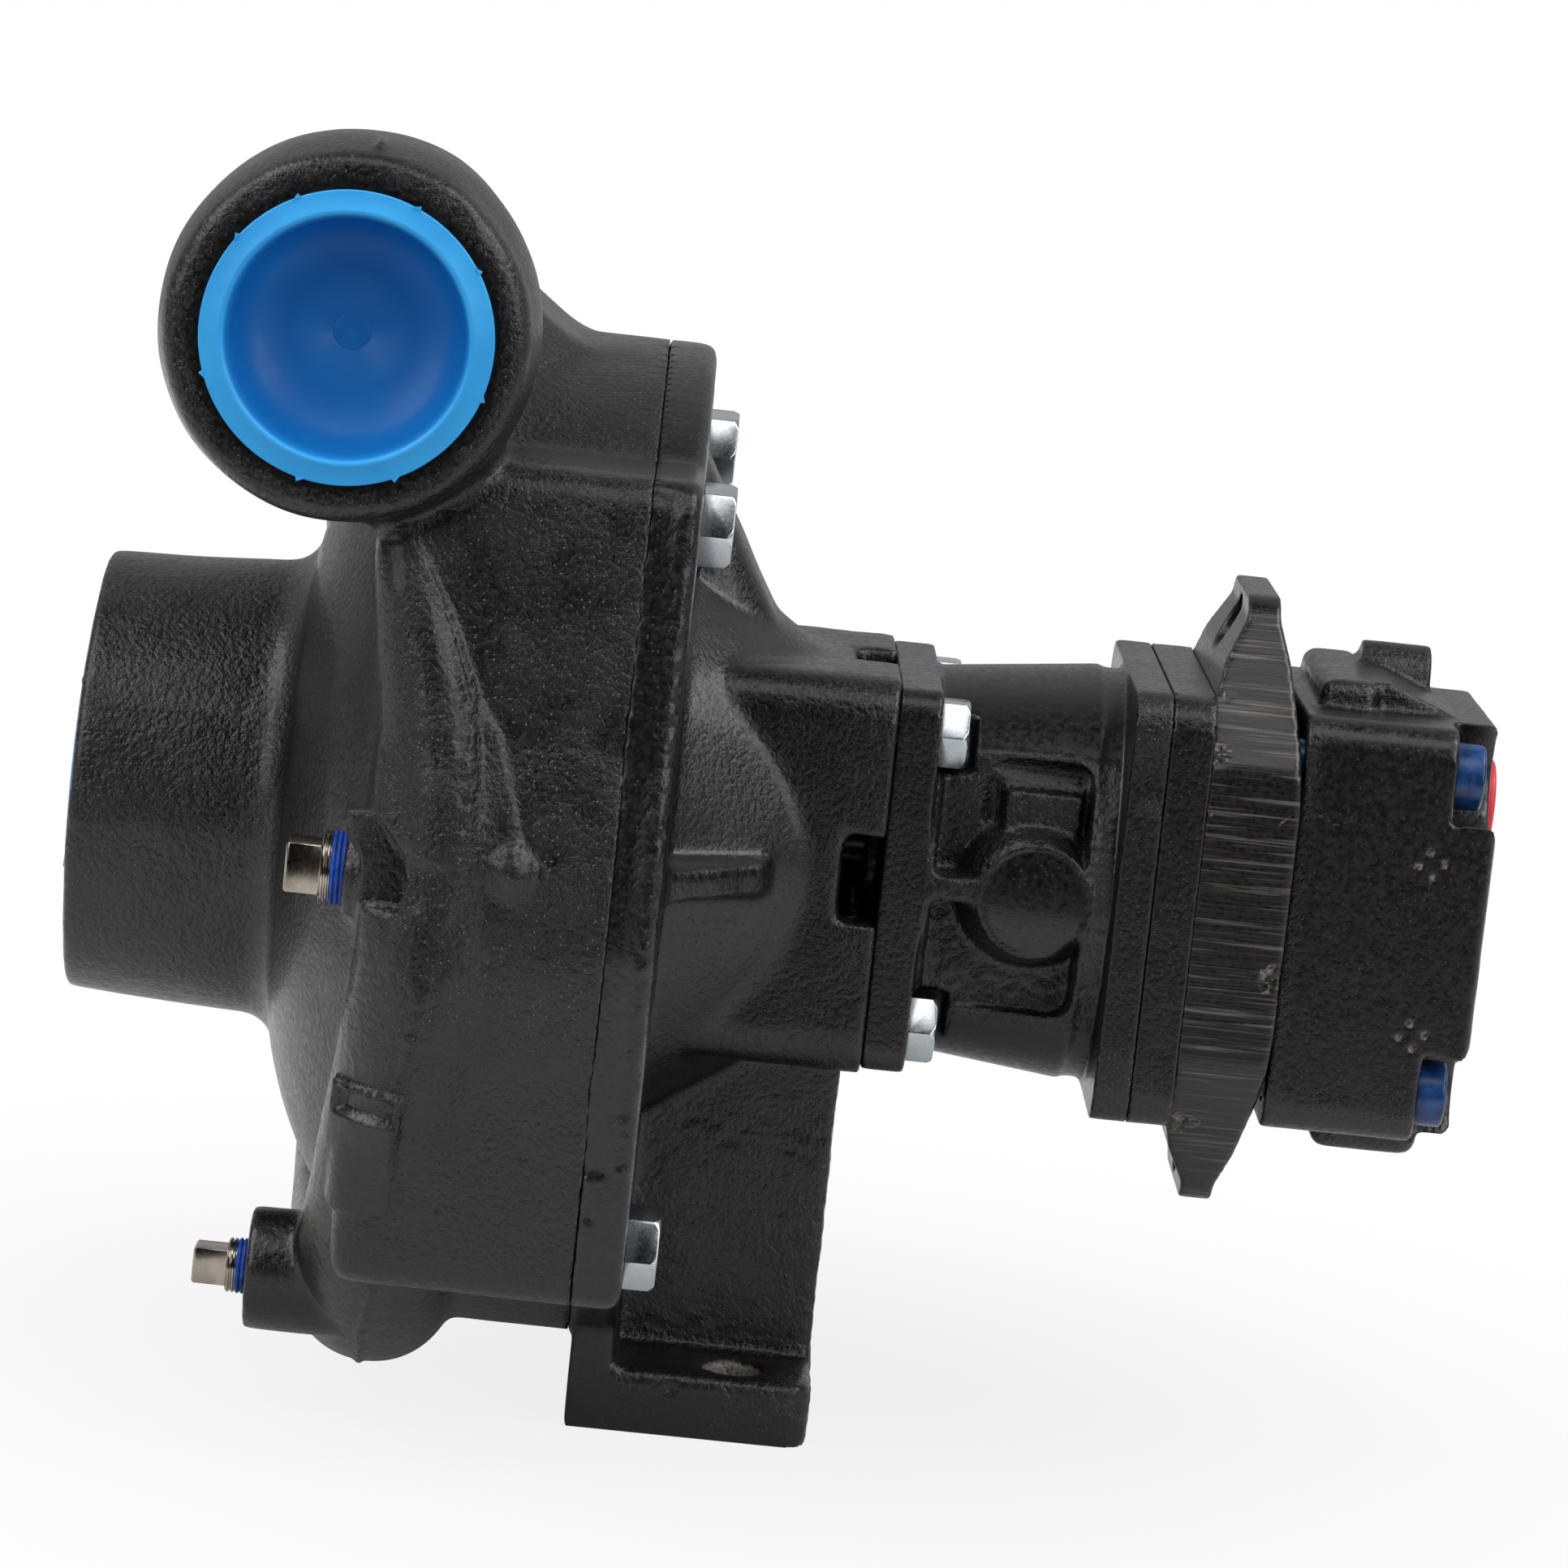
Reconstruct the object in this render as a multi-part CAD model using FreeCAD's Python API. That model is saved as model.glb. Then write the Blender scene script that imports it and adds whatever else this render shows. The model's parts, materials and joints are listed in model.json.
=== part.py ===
import FreeCAD, Part
import math
import os

# A small centrifugal water pump, close-coupled to a hydraulic gerotor motor.
# Millimetres. The shaft runs along X with the motor towards +X, the outlet points to -Y, +Z is up.
# Pieces are drawn about the shaft, with x = 0 on the joint between casing and mounting flange,
# and are moved at the end so that the origin lies on the foot's underside, midway between its holes.

# Driving sizes of the pump end
shaft_height = 114.3
foot_hole_x = 33.0
case_radius = 99.0
case_drop = 2.2
drum_depth = 46.0
drum_edge = 5.0
flange_thick = 9.5
oring_radius = 84.0
oring_wire = 1.7
bolt_land = 7.83
casing_bolt_radius = 4.76
ear_side = 18.5
ear_top = 9.5
ear_corner = 7.0
ear_blend = 8.0
casing_bolt_flats = 14.3
casing_bolt_head = 6.2
casing_bolt_reach = 15.0
suction_face_x = -106.0
suction_collar_radius = 43.5
suction_bore_radius = 29.9
collar_root_radius = 45.3
collar_root_x = -71.0
collar_blend = 7.0
front_cone_inset = 13.0
front_cone_bulge = 2.0
scroll_wall = 5.0
outlet_x = -58.0
outlet_over_rim = 1.0
outlet_face_y = -99.0
outlet_radius = 33.0
outlet_belly = 2.9
outlet_rise = 1.2
outlet_waist = 30.0
outlet_edge = 3.0
outlet_bore_radius = 24.0
throat_radius = 20.5
outlet_thread = 20.0
suction_thread = 22.0
scroll_start = 135.0
scroll_stations = 16
scroll_lead = 0.143
scroll_inset = 15.0
scroll_lift = 30.0
scroll_x = -22.5
scroll_lean = 25.0
scroll_radius = 12.0
scroll_growth = 14.0
scroll_nip = 40.0
tip_radius = 4.0
web_half = 16.0
web_foot_x = -61.0
fairing_half = 56.0
boss_lobe = 5.0
bump_radius = 5.5
bump_x = -18.5
drain_plug_radius = 6.6
low_plug_radius = 5.0
plug_reach = 11.0
impeller_radius = 62.0
impeller_back_x = -10.0
vane_width = 14.0
vane_count = 5
shroud_thick = 3.0
vane_thick = 3.2
eye_radius = 23.0
eye_length = 8.0
hub_radius = 13.0
hub_length = 29.0
nut_length = 9.0
nut_flats = 17.0
washer_thick = 1.6
washer_radius = 10.0
eye_run = 12.0
shroud_turn = 18.0
wear_gap = 0.4
side_room = 2.5
chamber_land = 4.3
gallery_inset = 11.0
gallery_front_x = -38.0
seat_start_x = 13.0
seat_length = 6.0
seat_radius = 17.5
seal_room_radius = 20.0
face_outer_radius = 14.5
slinger_x = 30.0
slinger_width = 4.0
slinger_root = 11.0
slinger_rim = 15.5
spring_wire = 1.0
bellows_wall = 1.6
bellows_collar = 2.5

# Driving sizes of the bracket between pump and motor
neck_half = 39.2
neck_x = 51.5
neck_corner = 8.0
cone_radius = 56.5
cone_small_radius = 35.0
cone_end_x = 44.0
gusset_top = 78.0
gusset_end_x = 30.0
gusset_half = 18.0
side_rib_half = 3.5
side_rib_reach = 71.0
side_rib_end_x = 29.5
side_rib_end = 48.0
neck_bore_radius = 30.0
end_wall = 5.0
window_width = 7.8
window_height = 17.5
rebate_width = 5.0
rebate_depth = 4.0
rebate_low = -52.0
rebate_high = 77.0
foot_length = 48.0
foot_start_x = 1.0
foot_half_width = 38.0
foot_thick = 12.7
foot_hole_spacing = 52.0
foot_hole_radius = 5.55
leg_half_width = 15.0

# Driving sizes of the hydraulic motor
motor_flange_half = 37.9
motor_flange_thick = 8.5
motor_bolt_offset = 29.2
motor_bolt_radius = 3.97
motor_bolt_flats = 12.7
motor_bolt_head = 5.4
motor_bolt_depth = 12.0
pilot_radius = 22.2
pilot_depth = 3.0
front_length = 44.0
end_flange_thick = 7.3
front_radius = 38.0
front_end_radius = 41.6
turned_band = 5.0
boss_radius = 11.0
boss_root_radius = 15.0
boss_from_flange = 21.0
pocket_floor = 29.5
pocket_top = 26.0
pocket_bottom = -24.0
screw_thread_depth = 6.3
dowel_radius = 2.5
block_half = 42.5
block_thick = 8.3
plate_thick = 18.0
plate_half = 42.5
plate_shoulder = 30.0
lug_start = 5.5
lug_thick = 6.5
lug_reach = 60.8
lug_half_width = 18.0
lug_corner = 8.0
ear_hole_offset = 53.2
ear_hole_radius = 5.5
cover_length = 38.7
cover_half = 39.5
cover_lump = 7.0
cap_screw_inset = 8.0
cap_screw_radius = 4.0
cap_screw_head_radius = 6.5
cap_screw_head = 8.0
screw_pocket_radius = 11.5
port_height = 21.5
port_radius = 9.5
port_thread_radius = 8.2
port_depth = 14.0
relief_radius = 7.0

# Driving sizes of the shaft line
shaft_radius = 7.94
nut_thread_radius = 5.0
journal_radius = 10.0
bearing_outer_radius = 23.5
bearing_width = 14.0
ball_radius = 3.9
ball_count = 8
seal_outer_radius = 17.5
seal_width = 7.0
rotor_teeth = 6
rotor_offset = 2.6
lobe_pitch_radius = 22.0
lobe_radius = 6.5
ring_outer_radius = 28.0
bush_outer_radius = 13.0
bush_length = 14.0
ball_pitch_radius = 16.75
ring_wire = 1.5
key_width = 4.76
key_sink = 2.4

# Clearances
running = 0.05
mesh_gap = 0.12
face_gap = 0.05
bolt_gap = 0.2

# Driving sizes of the transit plugs
cap_rim = 1.2
cap_wall = 1.7
cap_floor = 1.5
suction_cap_radius = 33.5
outlet_cap_radius = 26.9
port_plug_rim = 3.0


def vec(x, y, z):
    return FreeCAD.Vector(x, y, z)


def tube_x(x0, x1, outer, inner=0.0, y=0.0, z=0.0):
    body = Part.makeCylinder(outer, x1 - x0, vec(x0, y, z), vec(1, 0, 0))
    if inner > 0:
        body = body.cut(Part.makeCylinder(inner, x1 - x0 + 2, vec(x0 - 1, y, z), vec(1, 0, 0)))
    return body


def revolve_x(profile):
    points = [vec(x, 0, r) for x, r in profile]
    face = Part.Face(Part.makePolygon(points + points[:1]))
    return face.revolve(vec(0, 0, 0), vec(1, 0, 0), 360)


def rounded_wire(x, half_y, half_z, corner):
    edges = []
    arc_mid = corner * math.sqrt(0.5)
    signs = [(1, 1), (-1, 1), (-1, -1), (1, -1)]
    previous = None
    first = None
    for turn, (sy, sz) in enumerate(signs):
        cy = sy * (half_y - corner)
        cz = sz * (half_z - corner)
        side = vec(x, sy * half_y, cz)
        top = vec(x, cy, sz * half_z)
        start, end = (side, top) if turn % 2 == 0 else (top, side)
        if previous is not None:
            edges.append(Part.makeLine(previous, start))
        else:
            first = start
        middle = vec(x, cy + sy * arc_mid, cz + sz * arc_mid)
        edges.append(Part.Arc(start, middle, end).toShape())
        previous = end
    edges.append(Part.makeLine(previous, first))
    return Part.Wire(edges)


def rounded_bar(x0, x1, half_y, half_z, corner):
    return Part.Face(rounded_wire(x0, half_y, half_z, corner)).extrude(vec(x1 - x0, 0, 0))


def box(x0, x1, y0, y1, z0, z1):
    return Part.makeBox(x1 - x0, y1 - y0, z1 - z0, vec(x0, y0, z0))


def corners(offset):
    return [(sy * offset, sz * offset) for sy in (-1, 1) for sz in (-1, 1)]


def hex_head(x0, x1, flats, y, z, chamfer=0.8, turn=0.0):
    reach = flats / math.sqrt(3)
    points = []
    for step in range(7):
        angle = math.radians(60 * step + turn)
        points.append(vec(x0, y + reach * math.cos(angle), z + reach * math.sin(angle)))
    prism = Part.Face(Part.makePolygon(points)).extrude(vec(x1 - x0, 0, 0))
    if chamfer == 0:
        return prism
    cone = Part.makeCone(reach + 4 * chamfer, reach - chamfer, x1 - x0, vec(x0, y, z), vec(1, 0, 0))
    return prism.common(cone)


def fuse_all(pieces):
    return pieces[0].multiFuse(pieces[1:]).removeSplitter()


def smooth_edges(shape, radius, chosen):
    edges = [edge for edge in shape.Edges if chosen(edge)]
    return shape.makeFillet(radius, edges) if edges else shape


casing_bolt_offset = (oring_radius + oring_wire + bolt_land + casing_bolt_radius) / math.sqrt(2)
chamber_radius = oring_radius - oring_wire - chamber_land
spigot_x = impeller_back_x + 2
motor_face_x = neck_x
flange_out_x = motor_face_x + motor_flange_thick
front_end_x = flange_out_x + front_length
front_cone_radius = case_radius - front_cone_inset
outlet_z = case_radius + outlet_over_rim
scroll_centre = case_radius - scroll_inset
gallery_radius = case_radius - gallery_inset
cap_screw_offset = cover_half - cap_screw_inset
end_flange_x = front_end_x - end_flange_thick
block_end_x = front_end_x + block_thick
plate_end_x = block_end_x + plate_thick
cover_end_x = plate_end_x + cover_length
foot_end_x = foot_start_x + foot_length
foot_top_z = foot_thick - shaft_height
window_start_x = neck_x - window_width
boss_x = flange_out_x + boss_from_flange
vane_front_x = impeller_back_x - shroud_thick - vane_width
chamber_front_x = vane_front_x - shroud_thick - side_room
eye_start_x = vane_front_x - shroud_thick - eye_run
eye_end_x = eye_start_x - eye_length
hub_front_x = impeller_back_x - hub_length
nut_start_x = hub_front_x - washer_thick - nut_length
nut_end_x = nut_start_x - 3
impeller_key_start = hub_front_x + 6
impeller_key_end = impeller_back_x - 5
seat_end_x = seat_start_x + seat_length
face_start_x = seat_start_x - 4
seal_x = motor_face_x + 1
step_x = seal_x + seal_width + 1.5
bearing_x = step_x + 2
shaft_ring_x = bearing_x + bearing_width + face_gap
bush_end_x = plate_end_x + bush_length
shaft_end_x = bush_end_x - 1
screw_tip_x = front_end_x - screw_thread_depth
screw_head_x = cover_end_x - cap_screw_head - 1


def scroll_station(share):
    """Centre, radius and direction of the scroll at a share of its way from its tip to the outlet."""
    turn = math.radians(scroll_start + (450 - scroll_start) * share)
    tip = max(0.0, 1 - share / scroll_lead)
    reach = scroll_centre + (outlet_z - scroll_centre) * (1 - (1 - share) ** 2.2) + scroll_lift * tip ** 1.8
    nip = scroll_nip * share ** 4 * (1 - share)
    section = scroll_radius + scroll_growth * share - (scroll_radius - tip_radius) * tip - nip
    x = scroll_x + (outlet_x - scroll_x) * share ** 0.75 - scroll_lean * tip ** 1.2 + nip
    return x, reach, turn, section


def scroll_tube(inner):
    """The scroll's skin, or the water's way inside it, which stays open to the impeller's chamber."""
    first = 0.7 * scroll_lead if inner else 0.0
    wires = []
    for step in range(scroll_stations):
        share = first + (1 - first) * (step / (scroll_stations - 1)) ** 1.3
        x, reach, turn, section = scroll_station(share)
        if inner:
            inwards = 14 * share * (1 - share)
            x += inwards
            reach -= inwards
            taper = scroll_radius + scroll_growth - scroll_wall - throat_radius
            section -= scroll_wall + taper * share ** 3
        away = vec(0, -math.sin(turn), math.cos(turn))
        wires.append(Part.Wire(Part.Circle(polar(x, reach, turn), away, section).toShape()))
    return Part.makeLoft(wires, True, False)


def plug_seats():
    """Place, boss radius, boss end and thread radius of the two side plugs of the casing."""
    return [(13 - case_radius, 0.5, 8.7, -50.1, drain_plug_radius),
            (-42.0, 11.3 - case_radius, 12.0, -63.2, low_plug_radius)]


def case_outline(x0, x1, inset=0.0):
    """The round case with its four bolt ears, as a bar along the shaft."""
    reach = case_radius - inset
    side = casing_bolt_offset + ear_side - inset
    top = casing_bolt_offset + ear_top - inset
    inner = reach - case_drop
    touch = math.atan2(top, side) - math.acos(inner / math.hypot(side, top))
    flat_y = inner * math.cos(touch)
    flat_z = inner * math.sin(touch)
    quarter = [(side, top), (flat_y, flat_z), (flat_y, -flat_z), (side, -top)]
    points = [vec(x0, y, z) for y, z in quarter + [(-y, -z) for y, z in quarter]]
    ears = Part.Face(Part.makePolygon(points + points[:1])).extrude(vec(x1 - x0, 0, 0))
    ears = smooth_edges(ears, ear_corner, lambda e: e.BoundBox.XLength > x1 - x0 - 0.01
                        and abs(e.CenterOfMass.z) > top - 0.01)
    bar = ears.fuse(tube_x(x0, x1, reach, 0, 0, -case_drop)).removeSplitter()
    return smooth_edges(bar, ear_blend, lambda e: e.BoundBox.XLength > x1 - x0 - 0.01
                        and abs(abs(e.CenterOfMass.z) - top) < 0.01
                        and abs(e.CenterOfMass.y) < side - ear_corner - 1)


def front_cone():
    """The casing's suction side: a slightly domed cone and the suction collar, turned in one piece."""
    back = vec(0, 0, front_cone_radius)
    edge = vec(-drum_depth, 0, front_cone_radius)
    root = vec(collar_root_x + collar_blend, 0, collar_root_radius + collar_blend)
    middle = (edge + root) * 0.5 + vec(-front_cone_bulge, 0, front_cone_bulge / 2)
    collar = vec(collar_root_x, 0, collar_root_radius)
    bend = vec(collar_root_x + 0.7 * collar_blend, 0, collar_root_radius + 0.3 * collar_blend)
    face = vec(suction_face_x, 0, suction_collar_radius)
    mouth = vec(suction_face_x, 0, 0)
    edges = [Part.makeLine(vec(0, 0, 0), back), Part.makeLine(back, edge),
             Part.Arc(edge, middle, root).toShape(), Part.Arc(root, bend, collar).toShape(),
             Part.makeLine(collar, face), Part.makeLine(face, mouth), Part.makeLine(mouth, vec(0, 0, 0))]
    return Part.Face(Part.Wire(edges)).revolve(vec(0, 0, 0), vec(1, 0, 0), 360)


def outlet_barrel():
    """The outlet: full behind its face, waisted further back, ending in the scroll's own round."""
    stations = [(0, outlet_radius, 0), (0.09, outlet_radius + 0.7 * outlet_belly, 0.2),
                (0.21, outlet_radius + outlet_belly, 0.5), (0.4, outlet_radius + 1, 1),
                (0.6, outlet_waist, 1), (1, scroll_radius + scroll_growth, 0)]
    wires = []
    for share, radius, rise in stations:
        centre = vec(outlet_x, outlet_face_y * (1 - share), outlet_z + rise * outlet_rise)
        wires.append(Part.Wire(Part.Circle(centre, vec(0, 1, 0), radius).toShape()))
    barrel = Part.makeLoft(wires, True, False)
    return smooth_edges(barrel, outlet_edge, lambda e: e.BoundBox.YMax < outlet_face_y + 0.01)


def fairing():
    """The cast filling between the outlet barrel and the top of the drum."""
    low = outlet_z - 29
    high = [(-20, 12), (-31, 3), (-39, -3), (-47, -6)]
    end = [(-10, -10), (-20, -14), (-28, -19), (-36, -24)]
    wires = []
    for y, bend in ((-fairing_half, end), (-0.36 * fairing_half, high), (0.36 * fairing_half, high),
                    (fairing_half, end)):
        points = [vec(outlet_x - run, y, outlet_z + rise) for run, rise in bend]
        points += [vec(outlet_x - bend[-1][0], y, low), vec(outlet_x, y, low)]
        wires.append(Part.makePolygon(points + points[:1]))
    return Part.makeLoft(wires, True, True)


def volute_casing():
    drum = case_outline(-drum_depth, 0)
    drum = smooth_edges(drum, drum_edge, lambda e: e.BoundBox.XMax < -drum_depth + 0.01)
    web = box(web_foot_x, outlet_x + 14, -web_half, web_half, collar_root_radius - 12, outlet_z - 20)
    solid = drum.multiFuse([front_cone(), scroll_tube(False), outlet_barrel(), web, fairing()])
    for y, z, boss, end_x, thread in plug_seats():
        solid = solid.fuse(tube_x(end_x, scroll_x - 10, boss, 0, y, z))
    y, z, boss, end_x, thread = plug_seats()[0]
    solid = solid.fuse(tube_x(end_x, scroll_x - 10, boss_lobe, 0, y + 2, z + boss - 2))
    solid = solid.fuse(Part.makeSphere(bump_radius, vec(bump_x, 3 - case_radius, 5)))
    wear_radius = eye_radius + shroud_thick + wear_gap
    chamber = revolve_x([(1, 0), (1, chamber_radius), (spigot_x - 0.5, chamber_radius),
                         (spigot_x - 3, gallery_radius), (gallery_front_x + 2, gallery_radius),
                         (gallery_front_x, gallery_radius - 5), (chamber_front_x - 1, impeller_radius + 6),
                         (chamber_front_x, impeller_radius + 3),
                         (eye_start_x - side_room - 1.5, wear_radius + side_room),
                         (eye_start_x - side_room - 1.5, wear_radius),
                         (eye_end_x - 4, wear_radius),
                         (eye_end_x - 4, eye_radius), (suction_face_x + suction_thread, eye_radius + 2),
                         (suction_face_x + suction_thread, suction_bore_radius),
                         (suction_face_x - 1, suction_bore_radius), (suction_face_x - 1, 0)])
    mouth = Part.makeCylinder(outlet_bore_radius, outlet_thread + 1,
                              vec(outlet_x, outlet_face_y - 1, outlet_z), vec(0, 1, 0))
    throat = Part.makeCylinder(throat_radius, -outlet_face_y, vec(outlet_x, outlet_face_y, outlet_z),
                               vec(0, 1, 0))
    solid = solid.cut(chamber).cut(scroll_tube(True)).cut(throat).cut(mouth)
    for y, z, boss, end_x, thread in plug_seats():
        solid = solid.cut(tube_x(end_x - 1, end_x + plug_reach, thread, 0, y, z))
    for y, z in corners(casing_bolt_offset):
        solid = solid.cut(tube_x(-casing_bolt_reach, 1, casing_bolt_radius, 0, y, z))
    return solid


def rim_rebate():
    """The cast recess along the joint side of the flange's edge, on both long sides."""
    band = case_outline(-1, rebate_width, -1).cut(case_outline(-2, rebate_width + 1, rebate_depth))
    far = case_radius + 5
    middle = box(-3, rebate_width + 2, -case_radius / 2, case_radius / 2, -far, far)
    return band.common(box(-2, rebate_width + 1, -far, far, rebate_low, rebate_high)).cut(middle)


def side_rib(side):
    points = [vec(x, side * y, -side_rib_half)
              for x, y in ((flange_thick - 1, side_rib_reach), (flange_thick - 1, neck_half),
                           (side_rib_end_x, neck_half), (side_rib_end_x, side_rib_end))]
    return Part.Face(Part.makePolygon(points + points[:1])).extrude(vec(0, 0, 2 * side_rib_half))


def top_gusset():
    """The steep web from the flange down to the top of the neck."""
    points = [vec(x, -gusset_half, z)
              for x, z in ((flange_thick - 1, gusset_top), (gusset_end_x, neck_half),
                           (gusset_end_x, neck_half - 6), (flange_thick - 1, neck_half - 6))]
    web = Part.Face(Part.makePolygon(points + points[:1])).extrude(vec(0, 2 * gusset_half, 0))
    return smooth_edges(web, gusset_half / 2, lambda e: e.BoundBox.YLength < 0.01
                        and e.BoundBox.ZMax > gusset_top - 0.01 and e.BoundBox.XLength > 1)


def mounting_flange():
    plate = case_outline(0, flange_thick)
    plate = smooth_edges(plate, 2.5, lambda e: e.BoundBox.XMin > flange_thick - 0.01)
    cone = Part.makeCone(cone_radius, cone_small_radius, cone_end_x - flange_thick, vec(flange_thick, 0, 0),
                         vec(1, 0, 0))
    neck = rounded_bar(flange_thick, neck_x, neck_half, neck_half, neck_corner)
    spigot = tube_x(spigot_x, 1, chamber_radius - bolt_gap)
    leg = box(flange_thick - 2, foot_end_x - 0.5, -leg_half_width, leg_half_width, foot_top_z - 1,
              -neck_half + 4)
    apron = box(foot_start_x, flange_thick, -foot_half_width, foot_half_width, -shaft_height,
                18 - case_radius)
    foot = box(foot_start_x, foot_end_x, -foot_half_width, foot_half_width, -shaft_height, foot_top_z)
    foot = smooth_edges(foot, 6, lambda e: e.BoundBox.XMin > foot_end_x - 0.01 and e.BoundBox.ZLength > 2)
    solid = plate.multiFuse([cone, neck, spigot, leg, apron, foot, side_rib(-1), side_rib(1), top_gusset()])
    solid = solid.cut(rim_rebate())
    hollow = tube_x(seat_end_x + 3, neck_x - end_wall, neck_bore_radius)
    seal_room = tube_x(spigot_x - 1, seat_start_x, seal_room_radius)
    seat_bore = tube_x(seat_start_x - 1, seat_end_x, seat_radius)
    way_out = tube_x(seat_end_x - 1, neck_x + 1, shaft_radius + 3)
    pilot = tube_x(neck_x - end_wall - 1, neck_x + 1, pilot_radius + running)
    groove = tube_x(-1, oring_wire * 2 + face_gap, oring_radius + oring_wire, oring_radius - oring_wire)
    solid = solid.cut(hollow).cut(seal_room).cut(seat_bore).cut(way_out).cut(pilot).cut(groove)
    for y0, y1, z0, z1 in window_cuts():
        solid = solid.cut(box(window_start_x, neck_x + 1, y0, y1, z0, z1))
    for y, z in corners(casing_bolt_offset):
        solid = solid.cut(tube_x(-1, flange_thick + 1, casing_bolt_radius + bolt_gap, 0, y, z))
    for y, z in corners(motor_bolt_offset):
        solid = solid.cut(tube_x(neck_x - motor_bolt_depth, neck_x + 1, motor_bolt_radius, 0, y, z))
    for side in (-1, 1):
        centre = vec(foot_hole_x, side * foot_hole_spacing / 2, -shaft_height - 1)
        solid = solid.cut(Part.makeCylinder(foot_hole_radius, foot_thick + 2, centre))
    return solid


def window_cuts():
    half = window_height / 2
    outside = neck_half + 1
    inside = pilot_radius - 2
    return [(-outside, -inside, -half, half), (inside, outside, -half, half),
            (-half, half, inside, outside)]


def torus_x(x, radius, wire):
    return Part.makeTorus(radius, wire, vec(x, 0, 0), vec(1, 0, 0))


def impeller():
    hub = tube_x(hub_front_x, impeller_back_x, hub_radius)
    back = tube_x(impeller_back_x - shroud_thick, impeller_back_x, impeller_radius)
    front = revolve_x([(vane_front_x, impeller_radius), (vane_front_x - shroud_thick, impeller_radius),
                       (eye_start_x - 1.5, eye_radius + shroud_thick), (eye_end_x, eye_radius + shroud_thick),
                       (eye_end_x, eye_radius), (eye_start_x + 2, eye_radius),
                       (vane_front_x, impeller_radius - shroud_turn)])
    inside = revolve_x([(impeller_back_x - 1, 0), (impeller_back_x - 1, impeller_radius - 0.5),
                        (vane_front_x - 1, impeller_radius - 0.5),
                        (vane_front_x - 1, impeller_radius - shroud_turn + 2),
                        (eye_start_x + 1, eye_radius + 1), (eye_start_x + 1, 0)])
    vanes = [vane_solid(index).common(inside) for index in range(vane_count)]
    solid = fuse_all([hub, back, front] + vanes)
    solid = solid.cut(tube_x(hub_front_x - 1, impeller_back_x + 1, shaft_radius))
    return solid.cut(key_slot(impeller_key_start, impeller_key_end))


def polar(x, radius, angle):
    return vec(x, radius * math.cos(angle), radius * math.sin(angle))


def vane_solid(index):
    """One backward-curved vane: two arcs from the hub to the rim, swept along the shaft."""
    start = 2 * math.pi * index / vane_count
    x = eye_start_x
    stations = [(hub_radius + 3, 0.0), ((hub_radius + impeller_radius) / 2, 0.62), (impeller_radius, 1.15)]
    front = [polar(x, r, start + a) for r, a in stations]
    rear = [polar(x, r, start + a + vane_thick / r) for r, a in stations]
    edges = [Part.Arc(*front).toShape(), Part.makeLine(front[2], rear[2]),
             Part.Arc(rear[2], rear[1], rear[0]).toShape(), Part.makeLine(rear[0], front[0])]
    return Part.Face(Part.Wire(edges)).extrude(vec(impeller_back_x - x, 0, 0))


def key_slot(start, end, room=0.0):
    return box(start - room, end + room, -key_width / 2 - room, key_width / 2 + room,
               shaft_radius - key_sink - room, shaft_radius + key_sink + room)


def shaft():
    solid = revolve_x([(nut_end_x, 0), (nut_end_x, nut_thread_radius - 0.8),
                       (nut_end_x + 0.8, nut_thread_radius), (hub_front_x, nut_thread_radius),
                       (hub_front_x, shaft_radius), (step_x, shaft_radius), (step_x, journal_radius),
                       (shaft_end_x - 1, journal_radius), (shaft_end_x, journal_radius - 1),
                       (shaft_end_x, 0)])
    solid = solid.cut(key_slot(impeller_key_start, impeller_key_end))
    solid = solid.cut(rotor_key_box())
    return solid.cut(tube_x(shaft_ring_x, shaft_ring_x + ring_wire, journal_radius + 1, journal_radius - 0.9))


def rotor_key_box():
    middle = front_end_x + block_thick / 2
    half = block_thick / 2 - 0.8
    return box(middle - half, middle + half, -2, 2, journal_radius - 2, journal_radius + 1.8)


def impeller_nut():
    nut = hex_head(nut_start_x, hub_front_x - washer_thick, nut_flats, 0, 0)
    return nut.cut(tube_x(nut_start_x - 1, hub_front_x, nut_thread_radius))


def seal_bellows():
    return revolve_x([(impeller_back_x, shaft_radius), (face_start_x, shaft_radius),
                      (face_start_x, face_outer_radius), (face_start_x - bellows_collar, face_outer_radius),
                      (face_start_x - bellows_collar, shaft_radius + bellows_wall),
                      (impeller_back_x, shaft_radius + bellows_wall)])


def seal_spring():
    """A coil of round wire, drawn as short straight lengths between round stations."""
    turns = 4
    per_turn = 14
    radius = shaft_radius + bellows_wall + 1.8 * spring_wire + 1
    room = face_start_x - bellows_collar - impeller_back_x - 2 * spring_wire
    wires = []
    for step in range(turns * per_turn + 1):
        angle = 2 * math.pi * step / per_turn
        centre = polar(impeller_back_x + spring_wire + room * step / (turns * per_turn), radius, angle)
        along = vec(0, -math.sin(angle), math.cos(angle))
        wires.append(Part.Wire(Part.Circle(centre, along, spring_wire).toShape()))
    return Part.makeLoft(wires, True, True)


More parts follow.
